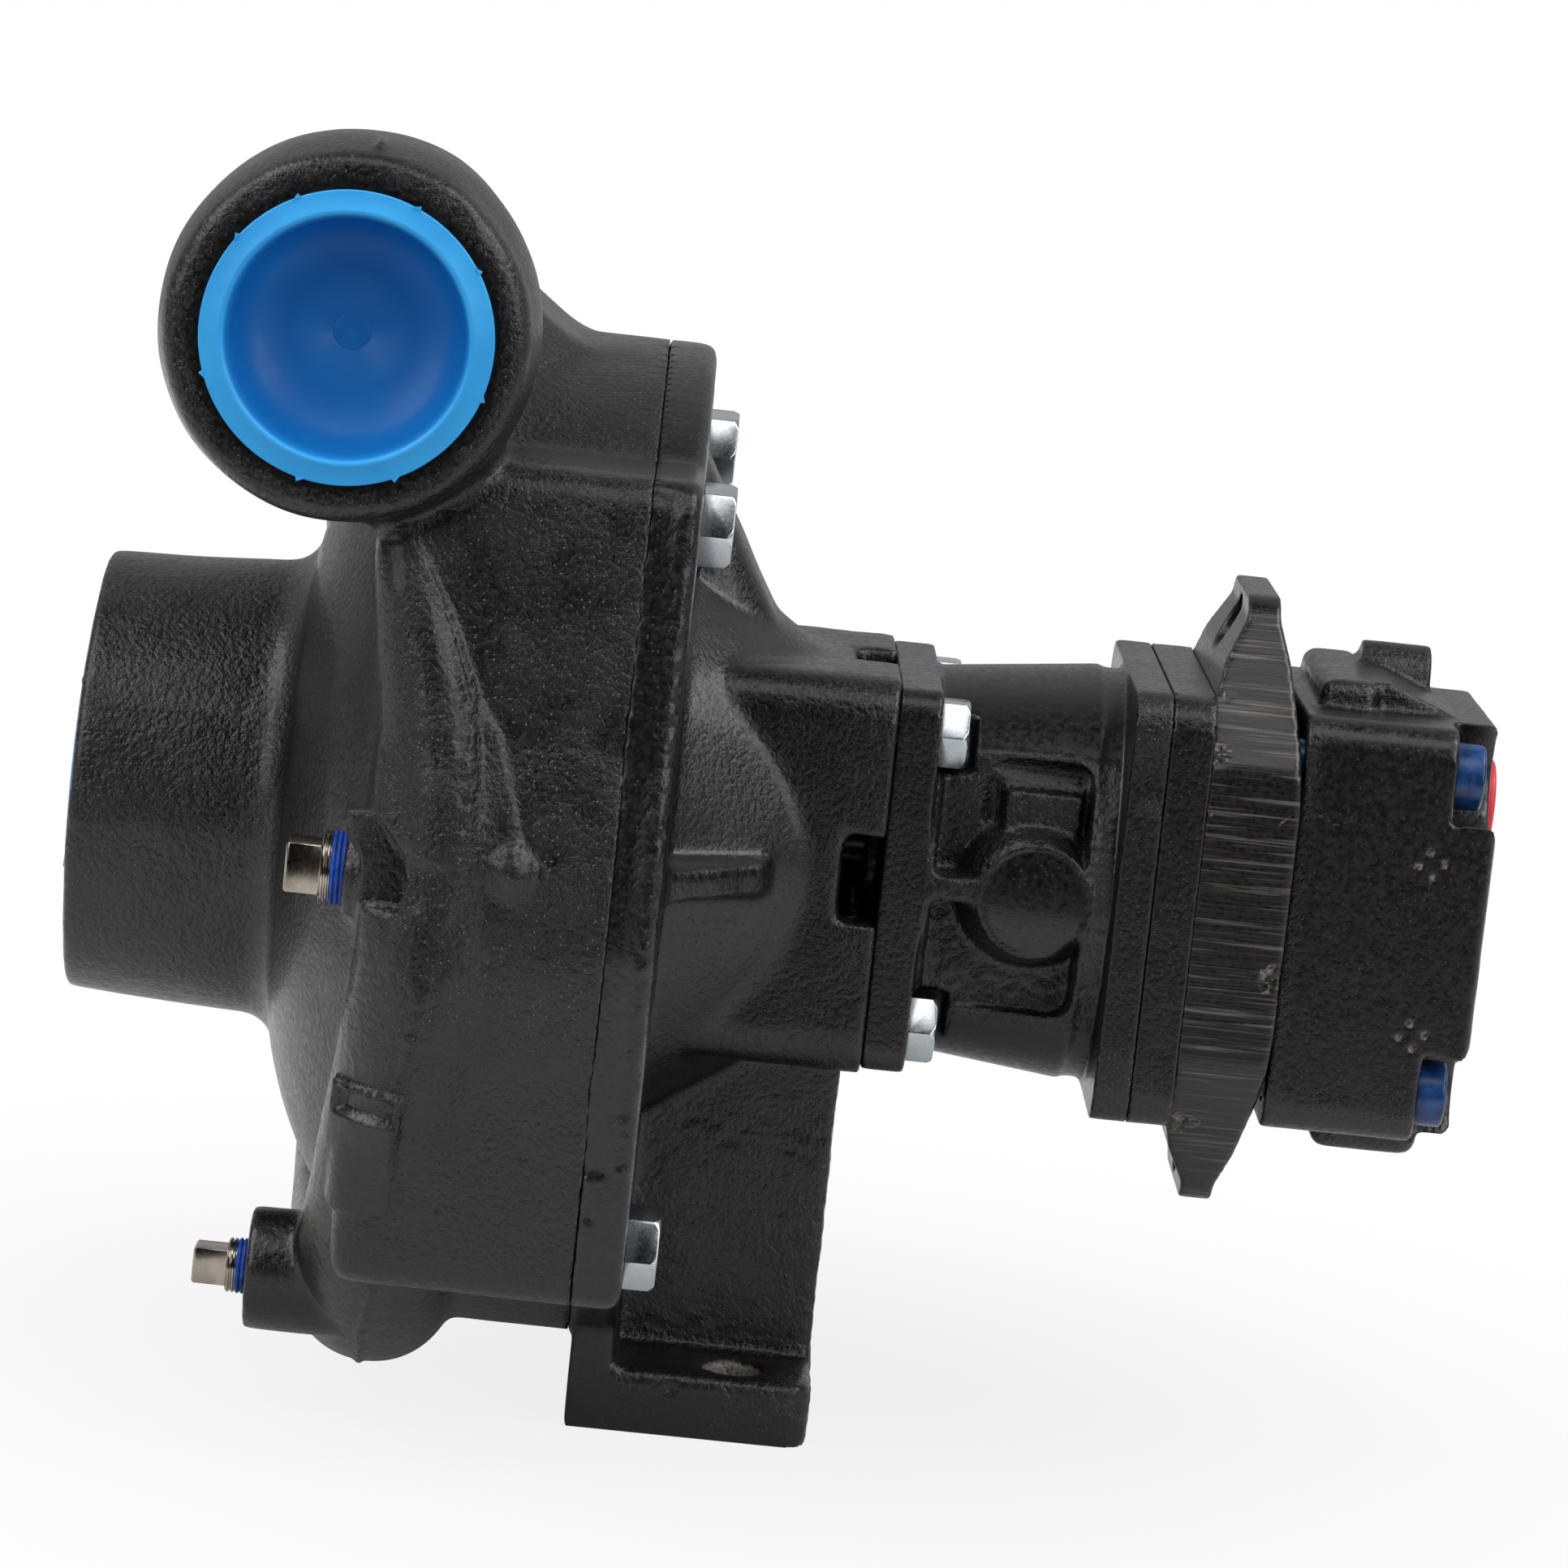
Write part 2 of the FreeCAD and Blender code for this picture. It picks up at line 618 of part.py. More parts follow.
def front_housing():
    """The motor's nose: pilot, square flange, round tapered body and square end flange in one casting."""
    flange = rounded_bar(motor_face_x, flange_out_x, motor_flange_half, motor_flange_half, 5)
    turned_x = end_flange_x - turned_band
    body = Part.makeCone(front_radius, front_end_radius, turned_x - flange_out_x + 1,
                         vec(flange_out_x - 1, 0, 0), vec(1, 0, 0))
    band = tube_x(turned_x - 1, end_flange_x + 1, front_end_radius - 0.6)
    end_flange = rounded_bar(end_flange_x, front_end_x, block_half, block_half, 7)
    pilot = tube_x(motor_face_x - pilot_depth, motor_face_x + 1, pilot_radius)
    solid = flange.multiFuse([body, band, end_flange, pilot])
    for side in (-1, 1):
        solid = solid.cut(side_pocket(side))
    for y, z in corners(motor_bolt_offset):
        solid = solid.cut(tube_x(motor_face_x - 1, flange_out_x + 1, motor_bolt_radius + bolt_gap, 0, y, z))
        solid = solid.cut(tube_x(flange_out_x, flange_out_x + motor_bolt_head + 2, motor_bolt_flats * 0.62,
                                 0, y, z))
    bore = tube_x(seal_x, seal_x + seal_width, seal_outer_radius)
    way = tube_x(motor_face_x - pilot_depth - 1, bearing_x + 1, journal_radius + 1.5)
    race = tube_x(bearing_x, front_end_x + 1, bearing_outer_radius)
    groove = tube_x(bearing_x + bearing_width, bearing_x + bearing_width + ring_wire,
                    bearing_outer_radius + 1.3)
    solid = solid.cut(bore).cut(way).cut(race).cut(groove)
    for y, z in corners(cap_screw_offset):
        solid = solid.cut(tube_x(screw_tip_x, front_end_x + 1, cap_screw_radius, 0, y, z))
    return solid


def side_pocket(side):
    """A cast pocket on one side of the nose, with its conical boss, cross rib and panel left standing."""
    y0, y1 = sorted((side * pocket_floor, side * (block_half + 5)))
    pocket = box(flange_out_x + 1.5, end_flange_x - turned_band - 1, y0, y1, pocket_bottom, pocket_top)
    pocket = smooth_edges(pocket, 4, lambda e: e.BoundBox.YLength > 2)
    rise = front_end_radius - pocket_floor - 2
    boss = Part.makeCone(boss_root_radius, boss_radius, rise, vec(boss_x, side * pocket_floor, 0),
                         vec(0, side, 0))
    above = Part.makeCylinder(boss_radius, 20, vec(boss_x, side * (pocket_floor + rise - 1), 0),
                              vec(0, side, 0))
    level = box(flange_out_x, end_flange_x, y0, y1, -2.5, 2.5)
    panel_y = sorted((side * (pocket_floor - 1), side * (pocket_floor + 4)))
    panel = box(boss_x - 7, boss_x + 8, *panel_y, 0, pocket_top - 6)
    return pocket.cut(boss).cut(above).cut(level).cut(panel)


def motor_block():
    solid = rounded_bar(front_end_x, block_end_x, block_half, block_half, 7)
    ring_bore = ring_outer_radius + running
    solid = solid.cut(tube_x(front_end_x - 1, block_end_x + 1, ring_bore, 0, 0, -rotor_offset))
    for y, z in corners(cap_screw_offset):
        solid = solid.cut(tube_x(front_end_x - 1, block_end_x + 1, cap_screw_radius + bolt_gap, 0, y, z))
    for y, z in dowel_places():
        solid = solid.cut(tube_x(front_end_x - 1, block_end_x + 1, dowel_radius, 0, y, z))
    return solid


def dowel_places():
    return [(block_half - 7, 0), (-block_half + 7, 0)]


def ear_plate():
    """The two-bolt motor plate: a rhombic outline, thick in the middle and flared down to its lugs."""
    lug_x = block_end_x + lug_start
    right = [(plate_end_x, plate_shoulder - 8), (plate_end_x - 1, plate_shoulder + 5),
             (lug_x + lug_thick + 2.5, lug_reach - 12), (lug_x + lug_thick, lug_reach - 4),
             (lug_x + lug_thick, lug_reach + 1)]
    left = [(lug_x, lug_reach + 1), (lug_x, lug_reach - 4), (block_end_x + 1.5, plate_half + 6),
            (block_end_x, plate_half)]
    upper = right + left
    points = [vec(x, -plate_half - 1, z) for x, z in upper + [(x, -z) for x, z in reversed(upper)]]
    side_view = Part.Face(Part.makePolygon(points + points[:1])).extrude(vec(0, 2 * plate_half + 2, 0))
    quarter = [(lug_half_width, lug_reach), (plate_half, plate_shoulder), (plate_half, -plate_shoulder),
               (lug_half_width, -lug_reach)]
    points = [vec(block_end_x, y, z) for y, z in quarter + [(-y, -z) for y, z in quarter]]
    end_view = Part.Face(Part.makePolygon(points + points[:1])).extrude(vec(plate_thick, 0, 0))
    end_view = smooth_edges(end_view, lug_corner, lambda e: e.BoundBox.XLength > 1)
    solid = end_view.common(side_view)
    solid = solid.cut(tube_x(block_end_x - 1, plate_end_x + 1, journal_radius + 0.2))
    for z in (-ear_hole_offset, ear_hole_offset):
        solid = solid.cut(tube_x(block_end_x, plate_end_x, ear_hole_radius, 0, 0, z))
    for y, z in corners(cap_screw_offset):
        solid = solid.cut(tube_x(block_end_x - 1, plate_end_x + 1, cap_screw_radius + bolt_gap, 0, y, z))
    for side in (-1, 1):
        solid = solid.cut(kidney(side))
    return solid


def kidney(side):
    """One of the two kidney ports that feed the rotor chambers, cut in the plate's face."""
    ring = tube_x(block_end_x - 1, block_end_x + 6, 21, 14.5)
    half = box(block_end_x - 2, block_end_x + 7, 3 if side > 0 else -30, 30 if side > 0 else -3, -16, 16)
    return ring.common(half)


def rear_cover():
    solid = rounded_bar(plate_end_x, cover_end_x, cover_half, cover_half + 1.5, 6)
    solid = smooth_edges(solid, 1.5, lambda e: e.BoundBox.XMin > cover_end_x - 0.01)
    top = cover_half + cover_lump
    crown = box(plate_end_x + 3.5, plate_end_x + 15, 17 - cover_half, cover_half - 11.5, cover_half - 3, top)
    crown = smooth_edges(crown, 3, lambda e: e.BoundBox.ZMax > top - 0.01)
    ramp = [vec(x, 20 - cover_half, z)
            for x, z in ((plate_end_x + 14, cover_half - 3), (plate_end_x + 14, top),
                         (plate_end_x + 17, top), (plate_end_x + 31, cover_half + 1.5),
                         (plate_end_x + 31, cover_half - 3))]
    wedge = Part.Face(Part.makePolygon(ramp + ramp[:1])).extrude(vec(0, 30, 0))
    relief = Part.makeCylinder(relief_radius, 14, vec(plate_end_x + 14, 14, cover_half + 4), vec(1, 0, 0))
    keel = box(plate_end_x + 11, plate_end_x + 32, -28, 10, -cover_half - 6, 3 - cover_half)
    keel = smooth_edges(keel, 3, lambda e: e.BoundBox.ZMin < -cover_half - 5.99)
    solid = solid.multiFuse([crown, wedge, relief, keel])
    solid = solid.cut(tube_x(plate_end_x - 1, bush_end_x + 3, bush_outer_radius))
    for y, z in corners(cap_screw_offset):
        solid = solid.cut(tube_x(plate_end_x - 1, cover_end_x + 1, cap_screw_radius + bolt_gap, 0, y, z))
        solid = solid.cut(tube_x(screw_head_x, cover_end_x + 1, screw_pocket_radius, 0, y, z))
    for z in port_places():
        solid = solid.cut(tube_x(cover_end_x - port_depth, cover_end_x + 1, port_thread_radius, 0, 0, z))
    return solid


def port_places():
    return [port_height, -port_height]


def cap_screw(y, z):
    shank = tube_x(screw_tip_x, screw_head_x + 1, cap_screw_radius, 0, y, z)
    head = tube_x(screw_head_x, screw_head_x + cap_screw_head, cap_screw_head_radius, 0, y, z)
    head = smooth_edges(head, 0.8, lambda e: e.BoundBox.XMin > screw_head_x + cap_screw_head - 0.01)
    socket = hex_head(screw_head_x + cap_screw_head - 4, screw_head_x + cap_screw_head + 1, 6.0, y, z, 0.0)
    return shank.fuse(head).cut(socket)


def hex_bolt(x, reach, radius, flats, height, y, z, turn):
    head = hex_head(x, x + height, flats, y, z, 0.8, turn)
    return head.fuse(tube_x(x - reach, x + 1, radius, 0, y, z))


def group(solids):
    return Part.makeCompound(solids)


def casing_bolts():
    reach = flange_thick + casing_bolt_reach - 1
    return group([hex_bolt(flange_thick, reach, casing_bolt_radius, casing_bolt_flats, casing_bolt_head,
                           y, z, 9) for y, z in corners(casing_bolt_offset)])


def motor_bolts():
    reach = motor_flange_thick + motor_bolt_depth - 1
    return group([hex_bolt(flange_out_x, reach, motor_bolt_radius, motor_bolt_flats, motor_bolt_head,
                           y, z, 0) for y, z in corners(motor_bolt_offset)])


def gerotor_outline():
    """The inner rotor's outline: the envelope of the ring's round lobes as both turn.

    The steps crowd together at the roots, where the outline turns fastest.
    """
    crowding = 0.93
    pins = rotor_teeth + 1
    points = []
    steps = 12 * rotor_teeth
    reach = lobe_radius + mesh_gap
    for step in range(steps):
        turn = 2 * math.pi * step / steps
        s = turn - crowding * math.sin(rotor_teeth * turn) / rotor_teeth
        y = lobe_pitch_radius * math.cos(s) - rotor_offset * math.cos(pins * s)
        z = lobe_pitch_radius * math.sin(s) - rotor_offset * math.sin(pins * s)
        dy = -lobe_pitch_radius * math.sin(s) + rotor_offset * pins * math.sin(pins * s)
        dz = lobe_pitch_radius * math.cos(s) - rotor_offset * pins * math.cos(pins * s)
        length = math.hypot(dy, dz)
        points.append((y - reach * dz / length, z + reach * dy / length))
    return points


def inner_rotor():
    """Drawn with its engaged tooth on +Z, where the ring's centre lies below the shaft."""
    x = front_end_x + face_gap
    points = [vec(x, -z, y) for y, z in gerotor_outline()]
    points.append(points[0])
    arcs = [Part.Arc(*points[i:i + 3]).toShape() for i in range(0, len(points) - 1, 2)]
    solid = Part.Face(Part.Wire(arcs)).extrude(vec(block_thick - 2 * face_gap, 0, 0))
    solid = solid.cut(tube_x(front_end_x - 1, block_end_x + 1, journal_radius))
    return solid.cut(rotor_key_box())


def outer_rotor():
    x0 = front_end_x + face_gap
    x1 = block_end_x - face_gap
    cavity_radius = lobe_pitch_radius + 2 * rotor_offset - lobe_radius + mesh_gap
    cavity = tube_x(x0 - 1, x1 + 1, cavity_radius, 0, 0, -rotor_offset)
    pins = rotor_teeth + 1
    for pin in range(pins):
        angle = math.pi / 2 + 2 * math.pi * pin / pins
        y = lobe_pitch_radius * math.cos(angle)
        z = lobe_pitch_radius * math.sin(angle) - rotor_offset
        cavity = cavity.cut(tube_x(x0 - 2, x1 + 2, lobe_radius, 0, y, z))
    return tube_x(x0, x1, ring_outer_radius, 0, 0, -rotor_offset).cut(cavity)


def race_groove():
    return torus_x(bearing_x + bearing_width / 2, ball_pitch_radius, ball_radius + running)


def bearing_outer_ring():
    ring = tube_x(bearing_x, bearing_x + bearing_width, bearing_outer_radius, ball_pitch_radius + 2.2)
    return ring.cut(race_groove())


def bearing_inner_ring():
    ring = tube_x(bearing_x, bearing_x + bearing_width, ball_pitch_radius - 2.2, journal_radius)
    return ring.cut(race_groove())


def ball_places():
    middle = bearing_x + bearing_width / 2
    return [polar(middle, ball_pitch_radius, 2 * math.pi * i / ball_count) for i in range(ball_count)]


def bearing_balls():
    return group([Part.makeSphere(ball_radius, place) for place in ball_places()])


def ball_cage():
    middle = bearing_x + bearing_width / 2
    cage = tube_x(middle - ball_radius - 1, middle + ball_radius + 1, ball_pitch_radius + 1.2,
                  ball_pitch_radius - 1.2)
    for place in ball_places():
        cage = cage.cut(Part.makeSphere(ball_radius + running, place))
    return cage


def split_ring(x, inner, outer):
    ring = tube_x(x, x + ring_wire, outer, inner)
    return ring.cut(box(x - 1, x + ring_wire + 1, -3, 3, 0, outer + 1))


def transit_plug(rim, body, recess, length):
    """A threaded plastic plug with a thin rim and a recess, drawn along +X from the mouth inwards."""
    rim_disc = tube_x(-cap_rim, 0, rim)
    plug = tube_x(-0.5, length, body)
    return rim_disc.fuse(plug).cut(tube_x(-cap_rim - 1, length - cap_floor, recess))


def suction_cap():
    plug = transit_plug(suction_cap_radius, suction_bore_radius - bolt_gap, suction_bore_radius - cap_wall,
                        suction_thread - 2)
    plug.translate(vec(suction_face_x - face_gap, 0, 0))
    return plug


def outlet_cap():
    plug = transit_plug(outlet_cap_radius, outlet_bore_radius - bolt_gap, outlet_bore_radius - cap_wall,
                        outlet_thread - 2)
    plug.rotate(vec(0, 0, 0), vec(0, 0, 1), 90)
    plug.translate(vec(outlet_x, outlet_face_y - face_gap, outlet_z))
    return plug


def port_plug(z):
    flange = tube_x(cover_end_x + face_gap, cover_end_x + port_plug_rim, port_radius, 0, 0, z)
    flange = smooth_edges(flange, 0.8, lambda e: e.BoundBox.XMin > cover_end_x + 1)
    body = tube_x(cover_end_x - port_depth + 2, cover_end_x + 1, port_thread_radius - bolt_gap, 0, 0, z)
    hollow = tube_x(cover_end_x - port_depth + 1, cover_end_x - 1, port_thread_radius - 2, 0, 0, z)
    return flange.fuse(body).cut(hollow)


def side_plug(y, z, end_x, thread, square):
    body = tube_x(end_x - 4, end_x + plug_reach - 1, thread, 0, y, z)
    head = box(end_x - 4 - 6.6, end_x - 3, y - square / 2, y + square / 2, z - square / 2, z + square / 2)
    head = smooth_edges(head, 0.7, lambda e: e.BoundBox.XMax < end_x - 10)
    return head.fuse(body)


def side_plugs():
    squares = (9.3, 7.0)
    return [side_plug(y, z, end_x, thread, square)
            for (y, z, boss, end_x, thread), square in zip(plug_seats(), squares)]


def save(name, shape):
    """Move a piece from the shaft's frame to the foot's frame and write it."""
    placed = shape.copy()
    placed.translate(vec(-foot_hole_x, 0, shaft_height))
    placed.exportStep("parts/" + name + ".step")


def pump_pieces():
    return {
        "volute_casing": volute_casing(),
        "mounting_flange": mounting_flange(),
        "casing_o_ring": torus_x(oring_wire + face_gap, oring_radius, oring_wire),
        "casing_bolts": casing_bolts(),
        "impeller": impeller(),
        "impeller_washer": tube_x(hub_front_x - washer_thick, hub_front_x, washer_radius, nut_thread_radius),
        "impeller_nut": impeller_nut(),
        "impeller_key": key_slot(impeller_key_start, impeller_key_end),
        "seal_seat": tube_x(seat_start_x, seat_end_x, seat_radius - 2.5, shaft_radius + 1),
        "seal_seat_cup": tube_x(seat_start_x, seat_end_x, seat_radius, seat_radius - 2.5),
        "seal_face_ring": tube_x(face_start_x, seat_start_x - face_gap, face_outer_radius - 0.5,
                                 shaft_radius + 1),
        "seal_bellows": seal_bellows(),
        "seal_spring": seal_spring(),
        "slinger_ring": revolve_x([(slinger_x, shaft_radius), (slinger_x + slinger_width, shaft_radius),
                                   (slinger_x + slinger_width, slinger_root),
                                   (slinger_x + 0.65 * slinger_width, slinger_rim),
                                   (slinger_x + 0.35 * slinger_width, slinger_rim),
                                   (slinger_x, slinger_root)]),
        "suction_cap": suction_cap(),
        "outlet_cap": outlet_cap(),
        "drain_plug": side_plugs()[0],
        "low_drain_plug": side_plugs()[1],
    }


def motor_pieces():
    return {
        "front_housing": front_housing(),
        "motor_bolts": motor_bolts(),
        "shaft": shaft(),
        "shaft_seal": tube_x(seal_x, seal_x + seal_width, seal_outer_radius, shaft_radius + running),
        "bearing_outer_ring": bearing_outer_ring(),
        "bearing_inner_ring": bearing_inner_ring(),
        "bearing_balls": bearing_balls(),
        "ball_cage": ball_cage(),
        "housing_snap_ring": split_ring(bearing_x + bearing_width, bearing_outer_radius - 2.5,
                                        bearing_outer_radius + 1.2),
        "shaft_snap_ring": split_ring(shaft_ring_x, journal_radius - 0.9, journal_radius + 2.2),
        "wear_plate": tube_x(front_end_x - 4, front_end_x, bearing_outer_radius - face_gap,
                             journal_radius + 0.3),
        "motor_block": motor_block(),
        "inner_rotor": inner_rotor(),
        "rotor_key": rotor_key_box(),
        "outer_rotor": outer_rotor(),
        "dowel_pins": group([tube_x(front_end_x, block_end_x, dowel_radius, 0, y, z)
                             for y, z in dowel_places()]),
        "ear_plate": ear_plate(),
        "rear_cover": rear_cover(),
        "rear_bush": tube_x(plate_end_x, bush_end_x, bush_outer_radius, journal_radius + running),
        "cap_screws": group([cap_screw(y, z) for y, z in corners(cap_screw_offset)]),
        "upper_port_plug": port_plug(port_places()[0]),
        "lower_port_plug": port_plug(port_places()[1]),
    }


os.makedirs("parts", exist_ok=True)
for pieces in (pump_pieces(), motor_pieces()):
    for name, shape in pieces.items():
        save(name, shape)
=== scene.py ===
import bpy
import bmesh
import json
import math
import numpy as np
from mathutils import Matrix, Vector, noise


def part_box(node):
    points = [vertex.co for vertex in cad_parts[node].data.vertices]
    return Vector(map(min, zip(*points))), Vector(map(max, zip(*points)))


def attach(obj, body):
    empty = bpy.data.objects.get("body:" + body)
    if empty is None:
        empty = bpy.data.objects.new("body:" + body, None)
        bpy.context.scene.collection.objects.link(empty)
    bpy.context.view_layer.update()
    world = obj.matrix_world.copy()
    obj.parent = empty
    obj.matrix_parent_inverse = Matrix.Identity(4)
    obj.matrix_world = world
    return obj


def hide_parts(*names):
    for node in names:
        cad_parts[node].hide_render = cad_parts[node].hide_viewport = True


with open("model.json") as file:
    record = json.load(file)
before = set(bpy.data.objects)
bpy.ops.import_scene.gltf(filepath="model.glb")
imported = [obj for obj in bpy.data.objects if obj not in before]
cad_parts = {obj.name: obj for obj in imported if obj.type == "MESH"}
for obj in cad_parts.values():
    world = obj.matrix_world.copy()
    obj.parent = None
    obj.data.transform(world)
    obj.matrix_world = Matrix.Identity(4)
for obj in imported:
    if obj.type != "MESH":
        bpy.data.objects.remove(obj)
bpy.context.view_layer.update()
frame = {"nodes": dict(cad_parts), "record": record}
MM = 0.001

# Places are given in millimetres about the shaft, with x = 0 on the joint between casing and flange,
# +x towards the motor, the outlet towards -y and z up, and are moved into the frame by HEART.
shaft_low, shaft_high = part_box("shaft")
HEART = np.array([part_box("volute_casing")[1].x, 0.0, (shaft_low.z + shaft_high.z) / 2])


def about_shaft(point):
    """A frame point, in metres, as millimetres about the shaft."""
    return [float(value) for value in (np.array(point) - HEART) / MM]


def node_box(node):
    """The two corners of a node's box, in millimetres about the shaft."""
    return [about_shaft(corner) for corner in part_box(node)]


HOUSING_LOW, HOUSING_HIGH = node_box("front_housing")
BLOCK_LOW, BLOCK_HIGH = node_box("motor_block")
EAR_LOW, EAR_HIGH = node_box("ear_plate")
COVER_JOINT = node_box("rear_cover")[0][0]
OUTLET_LOW, OUTLET_HIGH = node_box("outlet_cap")
OUTLET_X = (OUTLET_LOW[0] + OUTLET_HIGH[0]) / 2
OUTLET_Z = (OUTLET_LOW[2] + OUTLET_HIGH[2]) / 2
OUTLET_FACE = node_box("volute_casing")[0][1]
FLANGE_LOW, FLANGE_HIGH = node_box("mounting_flange")
NECK_X = FLANGE_HIGH[0]
FOOT_Z = FLANGE_LOW[2]


def linear(code):
    """An sRGB hex value as linear red, green, blue and alpha."""
    channels = [int(code[i:i + 2], 16) / 255 for i in (1, 3, 5)]
    return [c / 12.92 if c < 0.04045 else ((c + 0.055) / 1.055) ** 2.4 for c in channels] + [1.0]


def add(tree, kind, settings=None, **inputs):
    """Adds a node. settings are its own properties, or the stops of its ramp; inputs are values or
    sockets, by the input's name with _ for a space, or by its number as i0, i1 and so on."""
    node = tree.nodes.new(kind)
    for key, value in (settings or {}).items():
        if key == "stops":
            elements = node.color_ramp.elements
            while len(elements) < len(value):
                elements.new(0.5)
            for element, (place, tone) in zip(elements, value):
                element.position = place
                element.color = linear(tone) if isinstance(tone, str) else (tone, tone, tone, 1.0)
        else:
            setattr(node, key, value)
    for key, value in inputs.items():
        numbered = key[0] == "i" and key[1:].isdigit()
        socket = node.inputs[int(key[1:]) if numbered else key.replace("_", " ")]
        if isinstance(value, bpy.types.NodeSocket):
            tree.links.new(value, socket)
        else:
            socket.default_value = value
    return node


def new_material(name, **values):
    """A material with one principled shader, whose plain values are set on its own sockets."""
    made = bpy.data.materials.new(name)
    made.use_nodes = True
    tree = made.node_tree
    tree.nodes.clear()
    shader = add(tree, "ShaderNodeBsdfPrincipled", **values)
    add(tree, "ShaderNodeOutputMaterial", Surface=shader.outputs[0])
    return made, tree, shader


def enamelled_iron(name, grain_mm, grain_depth_mm, gloss):
    """Sand-cast iron under one coat of black enamel. The sand's grain shows as a soft orange peel that
    breaks each highlight into small glints; it is strong where the surface is as cast and faint where
    it was machined or sawn, which the skins say per point in their sand, sawn, wear and blue values.
    The wear value also holds painted highlights and painted light, and the pimples' tips are painted pale as
    glints."""
    made, tree, shader = new_material(name, IOR=1.52, Coat_Weight=0.2, Coat_Roughness=0.14, Coat_IOR=1.5)
    place = add(tree, "ShaderNodeTexCoord").outputs["Object"]
    sand = add(tree, "ShaderNodeAttribute", {"attribute_name": "sand"}).outputs["Fac"]
    sawn = add(tree, "ShaderNodeAttribute", {"attribute_name": "sawn"}).outputs["Fac"]
    worn = add(tree, "ShaderNodeAttribute", {"attribute_name": "worn"}).outputs["Fac"]
    blue = add(tree, "ShaderNodeAttribute", {"attribute_name": "blue"}).outputs["Fac"]

    grain = add(tree, "ShaderNodeTexNoise", Vector=place, Scale=1 / (grain_mm * MM), Detail=3.5,
                Roughness=0.55).outputs["Fac"]
    patch = add(tree, "ShaderNodeTexNoise", Vector=place, Scale=1 / (11 * MM), Detail=2.0).outputs["Fac"]
    patch = add(tree, "ShaderNodeMapRange", Value=patch, From_Min=0.35, From_Max=0.65, To_Min=0.55,
                To_Max=1.15).outputs[0]
    broad = add(tree, "ShaderNodeTexNoise", Vector=place, Scale=1 / (38 * MM), Detail=4.0,
                Roughness=0.6).outputs["Fac"]

    # Pimples where a grain of sand stands up, their tips painted pale as glints. They are
    # drawn half a millimetre across, twice their size, because finer ones are lost at this distance.
    pimples = add(tree, "ShaderNodeTexVoronoi", Vector=place, Scale=1 / (1.2 * MM))
    dome = add(tree, "ShaderNodeMapRange", {"interpolation_type": "SMOOTHSTEP"},
               Value=pimples.outputs["Distance"], From_Min=0.04, From_Max=0.22, To_Min=1.0,
               To_Max=0.0).outputs[0]
    chance = add(tree, "ShaderNodeSeparateColor", Color=pimples.outputs["Color"]).outputs[0]
    chosen = add(tree, "ShaderNodeMath", {"operation": "GREATER_THAN"}, i0=chance, i1=0.35).outputs[0]
    dome = add(tree, "ShaderNodeMath", {"operation": "MULTIPLY"}, i0=dome, i1=chosen).outputs[0]
    coarse = add(tree, "ShaderNodeMapRange", Value=sand, From_Min=0.68, From_Max=0.9).outputs[0]
    painted_glints = add(tree, "ShaderNodeMath", {"operation": "MULTIPLY"}, i0=dome, i1=coarse).outputs[0]
    painted_glints = add(tree, "ShaderNodeMapRange", Value=painted_glints, From_Min=0.22, From_Max=0.6, To_Max=0.9).outputs[0]

    # Saw marks run along the shaft, so the noise is drawn out forty times in that direction
    stretched = add(tree, "ShaderNodeVectorMath", {"operation": "MULTIPLY"}, i0=place,
                    i1=(0.025, 0.15, 1.0)).outputs[0]
    streak = add(tree, "ShaderNodeTexNoise", Vector=stretched, Scale=1 / (0.9 * MM), Detail=3.0,
                 Roughness=0.65).outputs["Fac"]

    # The relief: grain and pimples as far as the sand value says, or the saw's cuts in their place
    sandy = add(tree, "ShaderNodeMath", {"operation": "MULTIPLY_ADD"}, i0=dome, i1=0.6, i2=grain).outputs[0]
    share = add(tree, "ShaderNodeMath", {"operation": "MULTIPLY"}, i0=sand, i1=patch).outputs[0]
    share = add(tree, "ShaderNodeMath", {"operation": "ADD"}, i0=share, i1=0.06).outputs[0]
    sandy = add(tree, "ShaderNodeMath", {"operation": "MULTIPLY"}, i0=sandy, i1=share).outputs[0]
    cuts = add(tree, "ShaderNodeMath", {"operation": "MULTIPLY"}, i0=streak, i1=0.35).outputs[0]
    height = add(tree, "ShaderNodeMix", i0=sawn, i2=sandy, i3=cuts).outputs[0]
    bump = add(tree, "ShaderNodeBump", Height=height, Distance=grain_depth_mm * MM, Strength=1.0)
    tree.links.new(bump.outputs[0], shader.inputs["Normal"])
